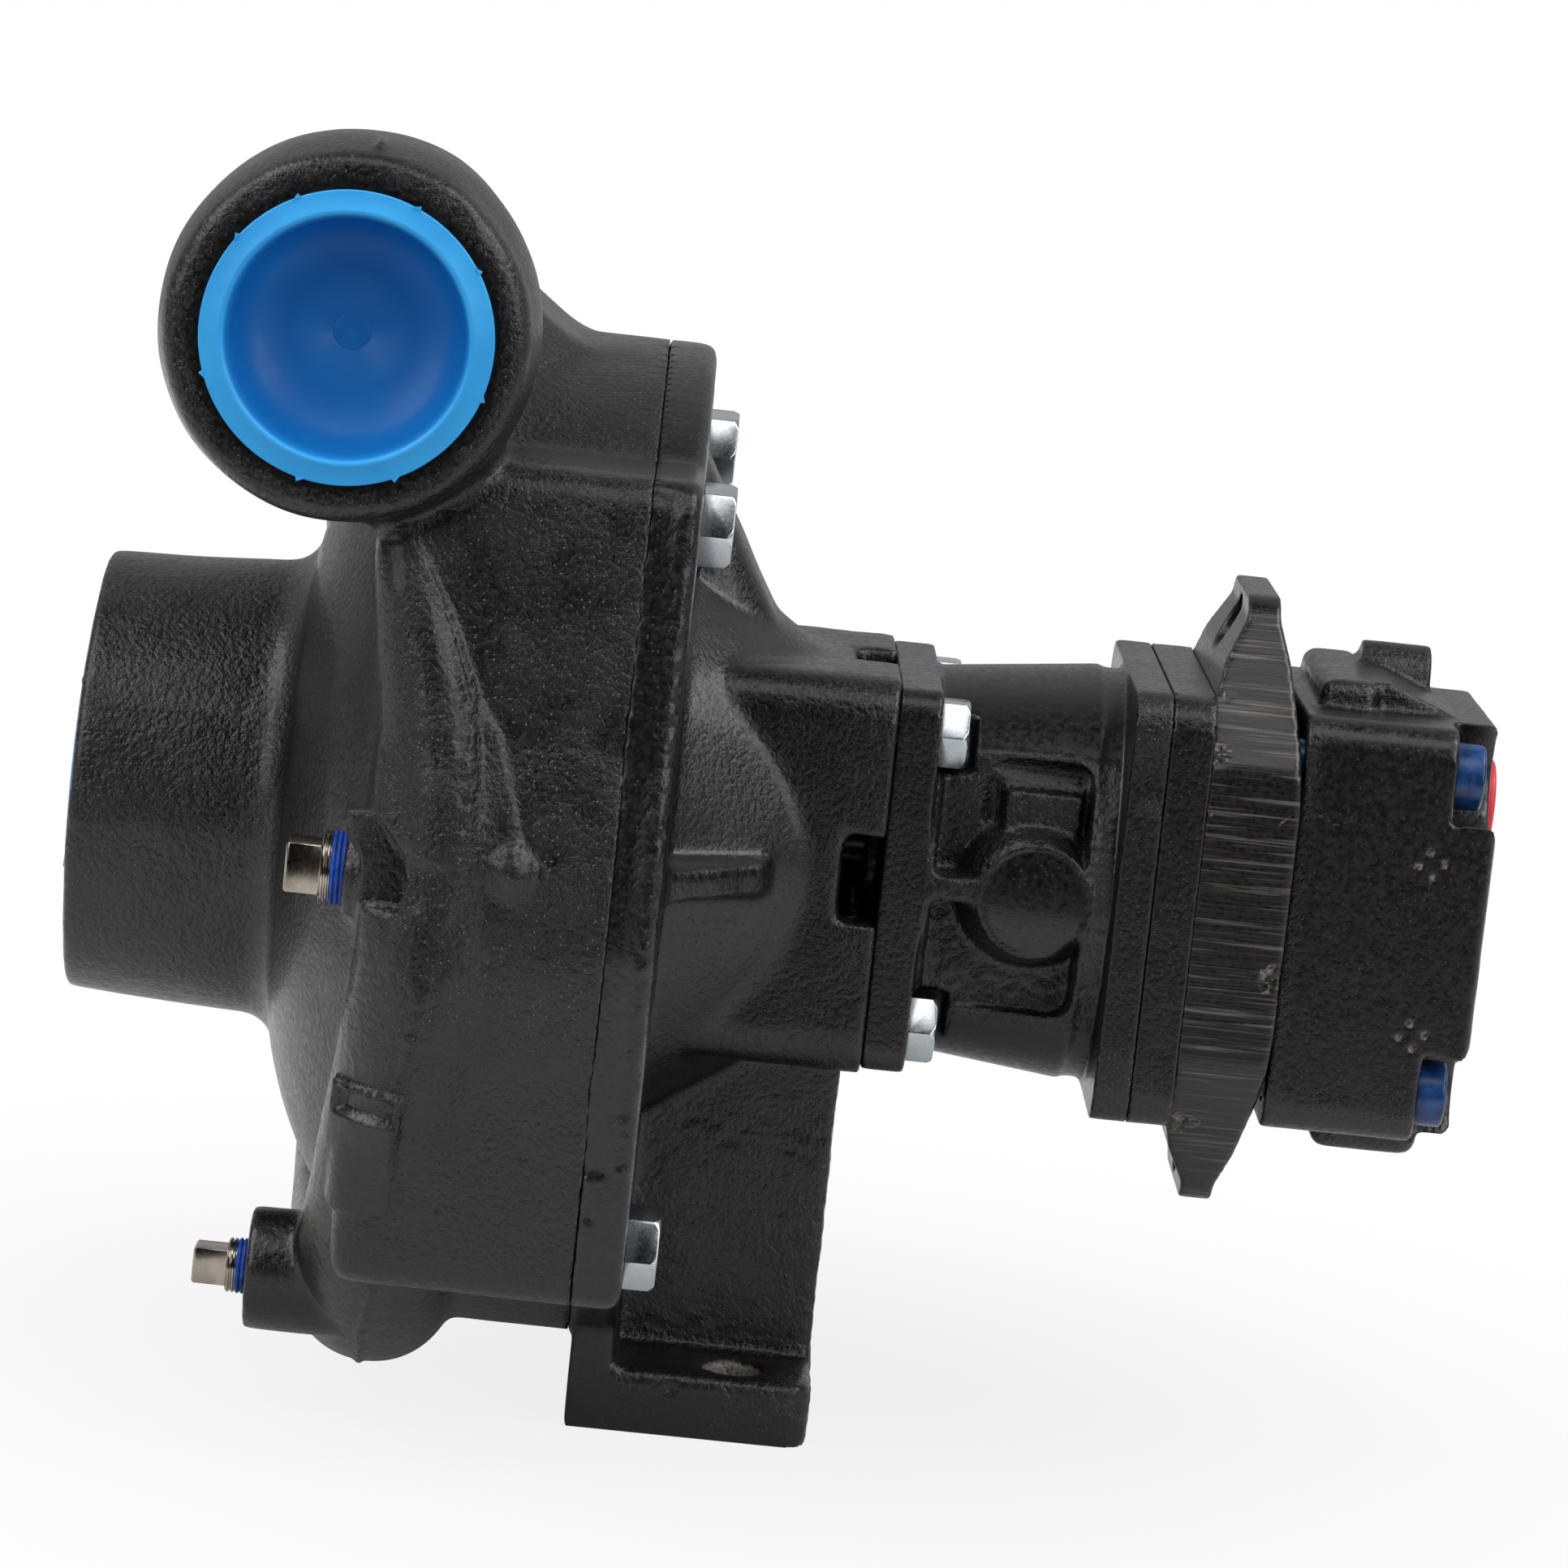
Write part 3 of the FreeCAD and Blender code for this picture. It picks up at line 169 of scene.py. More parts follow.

    # The colour: black enamel, thinner and paler on the grain, pale iron where worn and as painted glints and
    # painted highlights, blue where painted
    colour = add(tree, "ShaderNodeValToRGB", {"stops": [(0.3, "#0a0a0a"), (0.7, "#111110")]},
                 Fac=broad).outputs[0]
    speckle = add(tree, "ShaderNodeValToRGB", {"stops": [(0.36, "#060606"), (0.68, "#131312")]},
                  Fac=grain).outputs[0]
    colour = add(tree, "ShaderNodeMix", {"data_type": "RGBA"}, i0=share, i6=colour, i7=speckle).outputs[2]
    scuffs = add(tree, "ShaderNodeTexNoise", Vector=place, Scale=1 / (0.8 * MM), Detail=4.0,
                 Roughness=0.7).outputs["Fac"]
    ground = add(tree, "ShaderNodeMath", {"operation": "MULTIPLY"}, i0=worn, i1=scuffs).outputs[0]
    ground = add(tree, "ShaderNodeMapRange", Value=ground, From_Min=0.28, From_Max=0.6).outputs[0]
    streaks = add(tree, "ShaderNodeMapRange", Value=streak, From_Min=0.54, From_Max=0.72,
                  To_Max=0.6).outputs[0]
    streaks = add(tree, "ShaderNodeMath", {"operation": "MULTIPLY"}, i0=streaks, i1=sawn).outputs[0]
    pale_iron_and_painted_light = add(tree, "ShaderNodeMath", {"operation": "MAXIMUM"}, i0=ground, i1=streaks).outputs[0]
    pale_iron_and_painted_light = add(tree, "ShaderNodeMath", {"operation": "MAXIMUM"}, i0=pale_iron_and_painted_light, i1=painted_glints).outputs[0]
    colour = add(tree, "ShaderNodeMix", {"data_type": "RGBA"}, i0=pale_iron_and_painted_light, i6=colour,
                 i7=linear("#85817a")).outputs[2]
    paint = add(tree, "ShaderNodeMapRange", Value=blue, From_Min=0.35, From_Max=0.65).outputs[0]
    colour = add(tree, "ShaderNodeMix", {"data_type": "RGBA"}, i0=paint, i6=colour,
                 i7=linear("#1d4a9c")).outputs[2]
    tree.links.new(colour, shader.inputs["Base Color"])
    roughness = add(tree, "ShaderNodeMapRange", Value=grain, From_Min=0.3, From_Max=0.7,
                    To_Min=gloss - 0.09, To_Max=gloss + 0.16)
    tree.links.new(roughness.outputs[0], shader.inputs["Roughness"])
    return made


def plain_finish(name, hex_dark, hex_light, roughness, drift_mm=6.0, grain_mm=0.8, bump_mm=0.02, **values):
    """A colour that drifts between two tones, with a roughness and a slight bump that follow a grain."""
    made, tree, shader = new_material(name, **values)
    place = add(tree, "ShaderNodeTexCoord").outputs["Object"]
    drift = add(tree, "ShaderNodeTexNoise", Vector=place, Scale=1 / (drift_mm * MM), Detail=5.0,
                Roughness=0.6).outputs["Fac"]
    fine = add(tree, "ShaderNodeTexNoise", Vector=place, Scale=1 / (grain_mm * MM), Detail=3.0).outputs["Fac"]
    colour = add(tree, "ShaderNodeValToRGB", {"stops": [(0.3, hex_dark), (0.7, hex_light)]}, Fac=drift)
    tree.links.new(colour.outputs[0], shader.inputs["Base Color"])
    tone = add(tree, "ShaderNodeMapRange", Value=fine, From_Min=0.25, From_Max=0.8, To_Min=roughness * 0.8,
               To_Max=min(1.0, roughness * 1.25))
    tree.links.new(tone.outputs[0], shader.inputs["Roughness"])
    bump = add(tree, "ShaderNodeBump", Height=fine, Distance=bump_mm * MM, Strength=0.6)
    tree.links.new(bump.outputs[0], shader.inputs["Normal"])
    return made


def paint_bowl_shade(made, code):
    """Mixes a darker colour into a plastic as painted shade, where the cap's point values say that it is
    inside its bowl.
    """
    tree = made.node_tree
    shader = tree.nodes["Principled BSDF"]
    plain = shader.inputs["Base Color"].links[0].from_socket
    deep = add(tree, "ShaderNodeAttribute", {"attribute_name": "deep"}).outputs["Fac"]
    mixed = add(tree, "ShaderNodeMix", {"data_type": "RGBA"}, i0=deep, i6=plain, i7=linear(code))
    tree.links.new(mixed.outputs[2], shader.inputs["Base Color"])


# Casting sand has grains of 0.3 to 0.5 mm. They are drawn about 1 mm wide, or they wouldn't show.
black_casting = enamelled_iron("black_enamel_on_sand_cast_iron", grain_mm=1.15, grain_depth_mm=0.75,
                               gloss=0.33)
black_plate = enamelled_iron("black_enamel_on_sawn_iron", grain_mm=0.9, grain_depth_mm=0.42, gloss=0.33)
# Zinc is pale blue-white with the fine lines of the header's tool
zinc = plain_finish("bright_zinc_plated_steel", "#c2cacf", "#dde3e6", roughness=0.24, drift_mm=7.0,
                    grain_mm=0.5, bump_mm=0.008, Metallic=1.0)
# Nickel is warmer and closer to a mirror than zinc
nickel = plain_finish("nickel_plated_steel", "#8f877d", "#b9b0a5", roughness=0.2, drift_mm=4.0,
                      grain_mm=0.7, bump_mm=0.01, Metallic=1.0)
# Black oxide leaves the screw's dark metal with a dull shine
dark_steel = plain_finish("black_oxide_steel", "#19191b", "#2a2a2d", roughness=0.38, drift_mm=3.0,
                          grain_mm=0.5, bump_mm=0.01, Metallic=0.8)
# Grinding leaves steel bright and even
ground_steel = plain_finish("ground_steel", "#98989a", "#bababb", roughness=0.22, drift_mm=5.0,
                            grain_mm=0.4, bump_mm=0.006, Metallic=1.0)
# Pressed brass is yellow, with the soft shine of its die
brass = plain_finish("pressed_brass", "#a58645", "#c4a35c", roughness=0.3, drift_mm=5.0, grain_mm=0.6,
                     bump_mm=0.01, Metallic=1.0)
# Sintered bronze is porous, so it is dull and slightly mottled
bronze = plain_finish("sintered_bronze", "#8c6239", "#a87c4c", roughness=0.45, drift_mm=4.0,
                      grain_mm=0.4, bump_mm=0.02, Metallic=1.0)
# Bare cast iron is a dull mid grey with a coarse grain
grey_iron = plain_finish("bare_cast_iron", "#4a4a4a", "#636260", roughness=0.5, drift_mm=6.0,
                         grain_mm=1.2, bump_mm=0.08, Metallic=0.8)
# Moulded rubber is almost black, with a broad weak shine
rubber = plain_finish("moulded_nitrile_rubber", "#141414", "#1f1f1f", roughness=0.62, drift_mm=8.0,
                      grain_mm=0.6, bump_mm=0.01)
# Fired ceramic is cream white and smooth
ceramic = plain_finish("fired_ceramic", "#d8d3c6", "#e6e2d8", roughness=0.3, drift_mm=8.0, grain_mm=0.6,
                       bump_mm=0.004)
# Lapped carbon is dark grey with a soft graphite shine
carbon = plain_finish("lapped_carbon", "#1b1b1c", "#2b2b2d", roughness=0.33, drift_mm=5.0, grain_mm=0.5,
                      bump_mm=0.004)
# Polyethylene is waxy: a soft shine over a colour that lets a little light through
blue_plastic = plain_finish("moulded_blue_polyethylene", "#319fe9", "#41b2f5", roughness=0.42,
                            drift_mm=22.0, grain_mm=1.4, bump_mm=0.012, Subsurface_Weight=0.12,
                            Subsurface_Scale=0.002, Specular_IOR_Level=0.3)
# The cap's thin rim passes light; its bowl is painted darker than the rim, as painted shade
paint_bowl_shade(blue_plastic, "#1579c6")
# The red plugs are the same plastic with a smoother mould, so they shine a little more
red_plastic = plain_finish("moulded_red_polyethylene", "#e23744", "#ef4c58", roughness=0.36,
                           drift_mm=14.0, grain_mm=1.2, bump_mm=0.012, Subsurface_Weight=0.1,
                           Subsurface_Scale=0.002, Specular_IOR_Level=0.45)
# Thread sealant is brushed on, so its blue is uneven and it fills the thread's roots
sealant = plain_finish("dried_blue_thread_sealant", "#16378a", "#2c62c4", roughness=0.42, drift_mm=2.0,
                       grain_mm=0.5, bump_mm=0.05)
# Marking paint goes on thick and shiny, darker where the brush left it thin over the black screw
blue_paint = plain_finish("brushed_blue_marking_paint", "#0c2346", "#21508f", roughness=0.3,
                          drift_mm=3.0, grain_mm=1.6, bump_mm=0.12)

SLOT_MATERIALS = {
    "casting_black": black_casting, "plate_black": black_plate, "zinc_steel": zinc,
    "black_steel": dark_steel, "nickel_steel": nickel, "ground_steel": ground_steel,
    "brass": brass, "bronze": bronze, "impeller_iron": grey_iron, "rubber": rubber,
    "ceramic": ceramic, "carbon": carbon, "cap_blue": blue_plastic, "plug_red": red_plastic,
}
NODE_SLOTS = {part["node"]: part["material_slot"] for part in frame["record"]["subparts"]}
NODE_BODY = {node: body for body, members in frame["record"]["behaviour"]["bodies"].items()
             for node in members}


def settle(piece, node, finish=None):
    """Gives a piece its finish, by default the material of its node's slot, and puts it in the body of the
    node that it belongs to.
    """
    piece.data.materials.clear()
    piece.data.materials.append(finish or SLOT_MATERIALS[NODE_SLOTS[node]])
    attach(piece, NODE_BODY[node])
    return piece


def linked(name, mesh):
    """A new object in the scene that shows a mesh."""
    piece = bpy.data.objects.new(name, mesh)
    bpy.context.scene.collection.objects.link(piece)
    return piece


def welded_copy(node, name):
    """A copy of a CAD node's mesh, with the faces that the frame keeps apart joined at their edges."""
    mesh = frame["nodes"][node].data.copy()
    form = bmesh.new()
    form.from_mesh(mesh)
    bmesh.ops.remove_doubles(form, verts=form.verts, dist=0.002 * MM)
    form.to_mesh(mesh)
    form.free()
    return linked(name, mesh)


def baked(piece):
    """Puts a piece's modifiers into its mesh."""
    graph = bpy.context.evaluated_depsgraph_get()
    mesh = bpy.data.meshes.new_from_object(piece.evaluated_get(graph))
    piece.modifiers.clear()
    piece.data = mesh
    return piece


def column(items, prop, width, kind=float):
    """One property of all of a mesh's points, edges or normals, as an array."""
    flat = np.empty(len(items) * width, dtype=kind)
    items.foreach_get(prop, flat)
    return flat.reshape(-1, width)


def step(value, start, end):
    """0 before the start, 1 past the end and a smooth rise between them."""
    share = np.clip((value - start) / (end - start), 0, 1)
    return share * share * (3 - 2 * share)


def hump(distance, width):
    """1 on a line, falling to 0 at the width."""
    return 1 - step(distance, 0, width)


def off_place(points, place, scale=(1, 1, 1)):
    """How far each point is from a place, with each direction's distance scaled."""
    return np.linalg.norm((points - np.array(place)) * scale, axis=1)


def off_line(points, route):
    """How far each point is from the broken line through a route."""
    best = np.full(len(points), np.inf)
    for start, end in zip(route, route[1:]):
        start, run = np.array(start, float), np.array(end, float) - np.array(start, float)
        share = np.clip(((points - start) @ run) / (run @ run), 0, 1)
        best = np.minimum(best, np.linalg.norm(points - start - share[:, None] * run, axis=1))
    return best


def lumps(points, size_mm, where=None):
    """Noise from -1 to 1 with lumps of a size, worked out where the mask is above 0."""
    chosen = np.arange(len(points)) if where is None else np.nonzero(where > 0.001)[0]
    values = np.zeros(len(points))
    for index in chosen:
        values[index] = noise.noise(Vector(points[index] / size_mm))
    return np.clip(values * 1.8, -1, 1)


def soften(points, edges, weight, rounds):
    """Moves each point towards the middle of its neighbours, as far as its weight says."""
    count = np.bincount(edges.ravel(), minlength=len(points))[:, None]
    for _ in range(rounds):
        total = np.empty_like(points)
        for axis in range(3):
            total[:, axis] = (np.bincount(edges[:, 0], points[edges[:, 1], axis], len(points))
                              + np.bincount(edges[:, 1], points[edges[:, 0], axis], len(points)))
        points += 0.5 * weight[:, None] * (total / count - points)
    return points


# The flange's recess along the joint: its ends by height; the part of the rim that the fill follows, by
# its ends along x and its distance from the middle; the fill's own ends along x; and its scale
RECESS_LOW, RECESS_HIGH = -52.5, 77.5
RIM_FRONT, RIM_BACK, RIM_SIDE = 4.8, 9.0, 60
FILL_ENDS = (-0.35, 5.4)
FILL_SCALE = 0.9915


def fill_recess(piece):
    """Fills the flange's recess along the joint up to its shallow depth as cast: on each side a hull of
    the rim's own outline, a little smaller, which the remeshing joins to the plate."""
    form = bmesh.new()
    form.from_mesh(piece.data)
    places = [(vert.co / MM - Vector(HEART) / MM) for vert in form.verts]
    for side in (-1, 1):
        rim = [place for place in places if RIM_FRONT < place.x < RIM_BACK and side * place.y > RIM_SIDE
               and RECESS_LOW <= place.z <= RECESS_HIGH]
        corners = [Vector((x, place.y * FILL_SCALE, place.z * FILL_SCALE))
                   for place in rim for x in FILL_ENDS]
        corners = [form.verts.new(corner * MM + Vector(HEART)) for corner in corners]
        hull = bmesh.ops.convex_hull(form, input=corners)
        spare = set(hull["geom_interior"]) | set(hull["geom_unused"])
        bmesh.ops.delete(form, geom=[item for item in spare if isinstance(item, bmesh.types.BMVert)],
                         context="VERTS")
    form.to_mesh(piece.data)
    form.free()


def one_skin(node, voxel_mm, rounds, softness, dress):
    """The node's shape as a casting: one skin whose corners are softened and whose surface is dressed.

    softness gives how much of the softening each point takes, and rounds how often it is done, for
    each region; dress gives each point's rise along its normal, in mm, and the values that its finish
    reads. The skin stays inside the box of its CAD node."""
    piece = welded_copy(node, node + "_skin")
    if node == "mounting_flange":
        fill_recess(piece)
    remesh = piece.modifiers.new("one_skin", "REMESH")
    remesh.mode = "VOXEL"
    remesh.voxel_size = voxel_mm * MM * 1.0
    baked(piece)
    mesh = piece.data
    edges = column(mesh.edges, "vertices", 2, np.int32)
    points = (column(mesh.vertices, "co", 3) - HEART) / MM
    for turns, weight in zip(rounds, softness(points)):
        points = soften(points, edges, weight, turns)
    mesh.vertices.foreach_set("co", (points * MM + HEART).ravel())
    mesh.update()
    normals = column(mesh.vertex_normals, "vector", 3)
    rise, values = dress(points, normals)
    points += rise[:, None] * normals
    points = np.clip(points, *node_box(node))
    mesh.vertices.foreach_set("co", (points * MM + HEART).ravel())
    for key, value in values.items():
        layer = mesh.attributes.new(key, "FLOAT", "POINT")
        layer.data.foreach_set("value", np.clip(value, 0, 1).astype(np.float32))
    mesh.polygons.foreach_set("use_smooth", [True] * len(mesh.polygons))
    mesh.update()
    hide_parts(node)
    return settle(piece, node)


# The casing's cast and hand-dressed details, in millimetres about the shaft: the ridge of the scroll
# that was dressed by hand, the seam under the scroll, and the seam on top of the outlet barrel
CREST = [(-44, -90, 66), (-33, -92, 47), (-30, -93, 39), (-29, -96, 30), (-28, -100, 13), (-30, -102, -2),
         (-33, -102, -22), (-35, -99, -37), (-36, -91, -56)]
KEEL = [(-38, -78, -79), (-38, -69, -84), (-40, -52, -97), (-40, -36, -105), (-41, -15, -111)]
SEAM_X = OUTLET_X + 2.5
CROWN_SEAM = [(SEAM_X, OUTLET_FACE, OUTLET_Z + 30), (SEAM_X, OUTLET_FACE + 4, OUTLET_Z + 35),
              (SEAM_X, OUTLET_FACE + 50, OUTLET_Z + 34)]
# How far the rough shelf on the crest's motor side reaches, by height
SHELF_REACH = [(-60, 0.8), (-6, 0.9), (0, 4.0), (3.5, 9.5), (10.5, 10.8), (20, 8.2), (30, 5.6),
               (37, 1.5), (42, 0.4), (70, 0.4)]
# Inside the first radius is a bore, which stays as machined; past the second all is as cast
SUCTION_WALL = (31, 33)
OUTLET_WALL = (28, 29.5)
BARREL_RADIUS = 40
# The radius at which the outlet's machined face meets the cast barrel
FACE_RING = 32.6
# The raised pad on the scroll's lower side: its place and half sizes as x and z, how far it stands
# up and how much lower its sunk part lies
PAD_CENTRE = (-41.3, -51.0)
PAD_HALF = (6.6, 12.8)
PAD_TILT = math.radians(-3)
PAD_CORNER = 3
PAD_RISE, PAD_DROP = 1.7, 2.1
# The drain plug's boss: its middle as y and z with its radius, and its flat end's left edge, lowest and
# highest points, right edge by height, and depth
BOSS_ROUND = (-93.1, 0.5, 8.7)
BOSS_LEFT, BOSS_LOW, BOSS_HIGH = -46.2, -4.2, 13.3
BOSS_RIGHT = [(-4.2, -39.3), (2.0, -37.6), (6.5, -38.8), (13.3, -44.7)]
BOSS_FACE = -95.8
BUMP = (-18.6, -99.0, 8.4)


def casing_softness(points):
    """First all but the joint's face, then the scroll's leaf, its lower part and its fairing again."""
    x, y, z = points.T
    sealed = step(np.abs(x), 0.4, 2.5)
    near_side = step(-y, 55, 70)
    leaf = near_side * step(-x, 37, 43) * step(z, -30, 0) * step(72 - z, 0, 10)
    low_scroll = near_side * step(-x, 10, 16) * step(45 + x, 0, 6) * step(-z, 12, 25)
    fairing = step(x, -38, -33) * step(-x, 2, 6) * step(z, 62, 72)
    mouth = step(np.abs(y - OUTLET_FACE), 1, 4)
    edge = 1 - 0.85 * hump(off_line(points, CREST), 5)
    boss_y, boss_z, boss_radius = BOSS_ROUND
    edge *= step(np.hypot(y - boss_y, z - boss_z) - boss_radius, 0.5, 2.5)
    return [sealed, np.clip(leaf + low_scroll + fairing, 0, 1) * sealed * mouth * edge]


def crest_relief(points, crest, near_side, rough):
    """The scroll's dressed crest: an uneven ridge with a leaf on its pump side and a rough shelf on its
    motor side. Gives the rise, and how grainy and how worn each point is."""
    x, y, z = points.T
    broken = step(-z, -42, -34) * step(70 + z, 0, 20)
    crest_x, _, crest_z = np.array(CREST[::-1]).T
    past = x - np.interp(z, crest_z, crest_x)
    reach = np.interp(z, *np.array(SHELF_REACH).T)
    along = near_side * step(z, -58, -48) * step(66 - z, 0, 14)
    leaf = step(-past, -0.3, 0.3) * (1 - step(-past, 2, 13))
    boss_y, boss_z, boss_radius = BOSS_ROUND
    leaf *= step(np.hypot(y - boss_y, z - boss_z) - boss_radius, -0.5, 1.5)
    shelf = step(past, -0.3, 0.3) * (1 - 0.55 * np.clip(past / reach, 0, 1)) * step(reach - past, -0.5, 0.3)
    grained = along * broken * step(past, -4, -1) * step(reach + 0.5 - past, 0, 0.6)
    rise = hump(crest, 1.6) * (0.35 + 0.45 * rough) * (0.4 + 0.6 * broken)
    rise += (1.5 - 1.1 * step(-z, -12, 0)) * along * (leaf + shelf) + grained * 0.16 * rough
    return rise, grained, 0.25 * hump(crest, 1.2) * broken * step(rough, 0.1, 0.5)


def pad_relief(points, near_side):
    """The raised pad with one corner cut off and its upper part sunk. Gives the rise, the pad's share of
    each point, and a painted highlight along its left and lower rim."""
    x, y, z = points.T
    off_x, off_z = x - PAD_CENTRE[0], z - PAD_CENTRE[1]
    along = off_x * math.cos(PAD_TILT) + off_z * math.sin(PAD_TILT)
    up = off_z * math.cos(PAD_TILT) - off_x * math.sin(PAD_TILT)
    inside = np.minimum(PAD_HALF[0] - np.abs(along), PAD_HALF[1] - np.abs(up))
    inside = np.minimum(inside, (PAD_HALF[0] + PAD_HALF[1] - PAD_CORNER + along + up) * 0.7)
    pad = near_side * step(inside, -0.2, 0.6)
    sunk = near_side * step(inside, 1.0, 1.7) * step(up, 6.5, 7.4)
    # A highlight painted pale along the pad's left and lower rim
    rim = near_side * hump(np.abs(inside - 0.2), 0.9) * step(-along - up * 0.3, -2, 2)
    return PAD_RISE * pad - PAD_DROP * sunk, pad, rim


def dress_casing(points, normals):
    """Cast waves and grain, the crest, seams and pad, the outlet's flash and the drain plug's boss."""
    x, y, z = points.T
    near_side = step(-y, 40, 60)
    from_shaft = np.hypot(y, z)
    from_outlet = np.hypot(x - OUTLET_X, z - OUTLET_Z)
    barrel = step(BARREL_RADIUS - from_outlet, 0, 3) * step(-y, 55, 62)
    outside = np.maximum(barrel * step(from_outlet, *OUTLET_WALL),
                         (1 - barrel) * step(from_shaft, *SUCTION_WALL))
    crest, keel, crown = (off_line(points, route) for route in (CREST, KEEL, CROWN_SEAM))
    rough = lumps(points, 1.5, hump(crest, 13) + hump(keel, 6) + barrel * step(from_outlet, 29, 30))
    crest_rise, grained, crest_worn = crest_relief(points, crest, near_side, rough)
    pad_rise, pad, pad_painted_highlight = pad_relief(points, near_side)
    coarse = outside * near_side * step(from_shaft, 85, 95) * (1 - barrel)
    rise = 0.13 * lumps(points, 13) * outside + 0.06 * coarse * lumps(points, 1.9, coarse)
    rise += crest_rise + pad_rise
    rise += hump(keel, 1.3) * (0.7 + 0.2 * rough) + hump(crown, 1.3) * (0.9 + 0.3 * rough)

    # The flash between the machined face and the cast barrel, thickest below on the motor's side
    clock = np.arctan2(z - OUTLET_Z, x - OUTLET_X)
    flash = barrel * hump(np.hypot(from_outlet - FACE_RING, (y - OUTLET_FACE) * 0.8), 2.4)
    heavy = step(np.cos(clock + math.radians(40)), 0.35, 0.8)
    rise += flash * (0.12 + 0.28 * rough + heavy * (0.25 + 0.3 * rough))
    flat_face = step(1.0 - np.abs(y - OUTLET_FACE), 0, 0.6) * step(FACE_RING - from_outlet, 0, 1)

    # The bump beside the crest, and the flat end of the drain plug's boss
    rise += 0.8 * hump(off_place(points, BUMP), 2.8)
    boss = np.minimum(x - BOSS_LEFT, np.interp(z, *np.array(BOSS_RIGHT).T) - x)
    boss = np.minimum(boss, np.minimum(z - BOSS_LOW, BOSS_HIGH - z))
    boss = near_side * step(boss, -0.2, 0.5) * step(-y, 80, 82)
    to_face = (y - BOSS_FACE) / np.clip(-normals[:, 1], 0.4, 1)
    rise = (1 - boss) * rise + boss * np.clip(to_face, -4, 4.5)

    # The barrel's side towards the drum is a little leaner than the solid
    rise -= 0.9 * barrel * step(np.cos(clock - 0.15), 0.55, 0.95) * step(y - OUTLET_FACE, 3, 12) * outside

    cone = step(-x, 45, 50) * step(from_shaft, 46, 50) * (1 - barrel)
    sand = 0.9 - 0.4 * cone - 0.1 * barrel - 0.35 * flat_face - 0.4 * pad - 0.15 * step(-z, 15, 40)
    sand += 0.7 * grained + 0.15 * step(-from_shaft, -99, -97) * near_side
    sand = np.maximum(sand, flash * 0.9)
    joint_edge = 0.75 * step(x, -0.8, -0.3) * step(from_shaft, 60, 70)
    # The flash ring's raised lumps are painted pale as a highlight
    flash_painted_highlight = 0.75 * flash * step(rough, 0.2, 0.5)
    worn = np.maximum.reduce([crest_worn, joint_edge, 0.8 * pad_painted_highlight, flash_painted_highlight])
    return rise * outside, {"sand": sand * outside, "worn": worn}


# The flange's rim between its bolt ears, by height; one foot hole as x and y, with the reach below the
# foot's top of its wall, painted pale as the light seen through the hole; and the dents that the
# core's pins left
RIM_LOW, RIM_HIGH = -60, 80
FOOT_HOLE = (33.0, 26.0)
FOOT_HOLE_REACH = 6.5
FOOT_TOP = FOOT_Z + 12.7
CORE_MARKS = [(1.8, -90.3, -60.1), (21.3, -38.0, -104.6), (1.8, 90.3, -60.1), (21.3, 38.0, -104.6)]


def flange_softness(points):
    """First all but the machined joint, neck end and foot, then the root of the neck again."""
    x, y, z = points.T
    cast = step(np.abs(x), 0.3, 1.6) * step(NECK_X - x, 0.2, 1.5) * step(z - FOOT_Z, 0.3, 2)
    root = step(x, 10, 12) * step(46 - x, 0, 3) * step(np.hypot(y, z), 33, 36)
    return [cast, root * cast]


def dress_flange(points, normals):
    """Cast waves, a ragged rim with a painted highlight, a coarser leg and neck, the core's dents and
    the foot holes' walls painted pale as the light seen through them.
    """
    x, y, z = points.T
    side = np.abs(y)
    outside = step(np.hypot(y, z), *SUCTION_WALL) * step(x, -0.2, 0.2)
    rim = hump(np.abs(x - 7.3), 2.6) * step(side, 60, 80) * step(np.abs(normals[:, 1]), 0.2, 0.5)
    rim *= step(z, RIM_LOW, RIM_LOW + 8) * step(RIM_HIGH - z, 0, 6)
    rough = lumps(points, 2.1, rim)
    above_foot = step(z - FOOT_Z, 0.5, 2)
    rise = 0.13 * lumps(points, 12) * step(x, 0.6, 1.6) * step(NECK_X - x, 0.5, 2) * above_foot
    rise += rim * (0.1 + 0.3 * rough)
    neck = step(x, 38, 42)
    coarse = step(-z, 46, 52) * step(x, 10, 11) * above_foot + 0.7 * neck
    rise += 0.07 * coarse * lumps(points, 2.0, coarse)
    for mark in CORE_MARKS:
        rise -= 0.9 * hump(off_place(points, mark), 1.7)
    hole = step(FOOT_HOLE_REACH - np.hypot(x - FOOT_HOLE[0], side - FOOT_HOLE[1]), 0, 0.5)
    pale_iron_and_painted_light = hole * step(FOOT_TOP - 0.6 - z, 0, 0.6)
    edge_band = step(9.9 - x, 0, 0.5) * step(side + np.abs(z), 60, 80)
    cone = step(x, 9.5, 12) * step(44 - x, 0, 4) * step(-z, -60, -45) * step(z, -52, -46)
    leg = step(-z, 44, 50) * step(x, 9.6, 11)
    sand = 0.55 + 0.12 * neck + 0.12 * leg - 0.3 * edge_band - 0.15 * cone + 0.2 * rim
    # A painted highlight on the rim's raised lumps, and painted light on the foot holes' walls
    worn = np.maximum(0.45 * rim * step(rough, 0.0, 0.5), pale_iron_and_painted_light)
    return rise * outside, {"sand": sand * outside, "worn": worn}


# The round boss in the housing's side pocket as x and z, how far out the pocket's floor lies, the two
# slots in that floor, and a scuff on the end flange
BOSS_MIDDLE = (81.5, -0.6)
BOSS_RADIUS = 11.0
POCKET_SIDE = 29.5
POCKET_SLOTS = [[(73.5, 23.8), (90.0, 23.3)], [(71.5, 20.0), (71.8, 13.5)]]
HOUSING_SCUFF = (101.5, -42.5, 21)


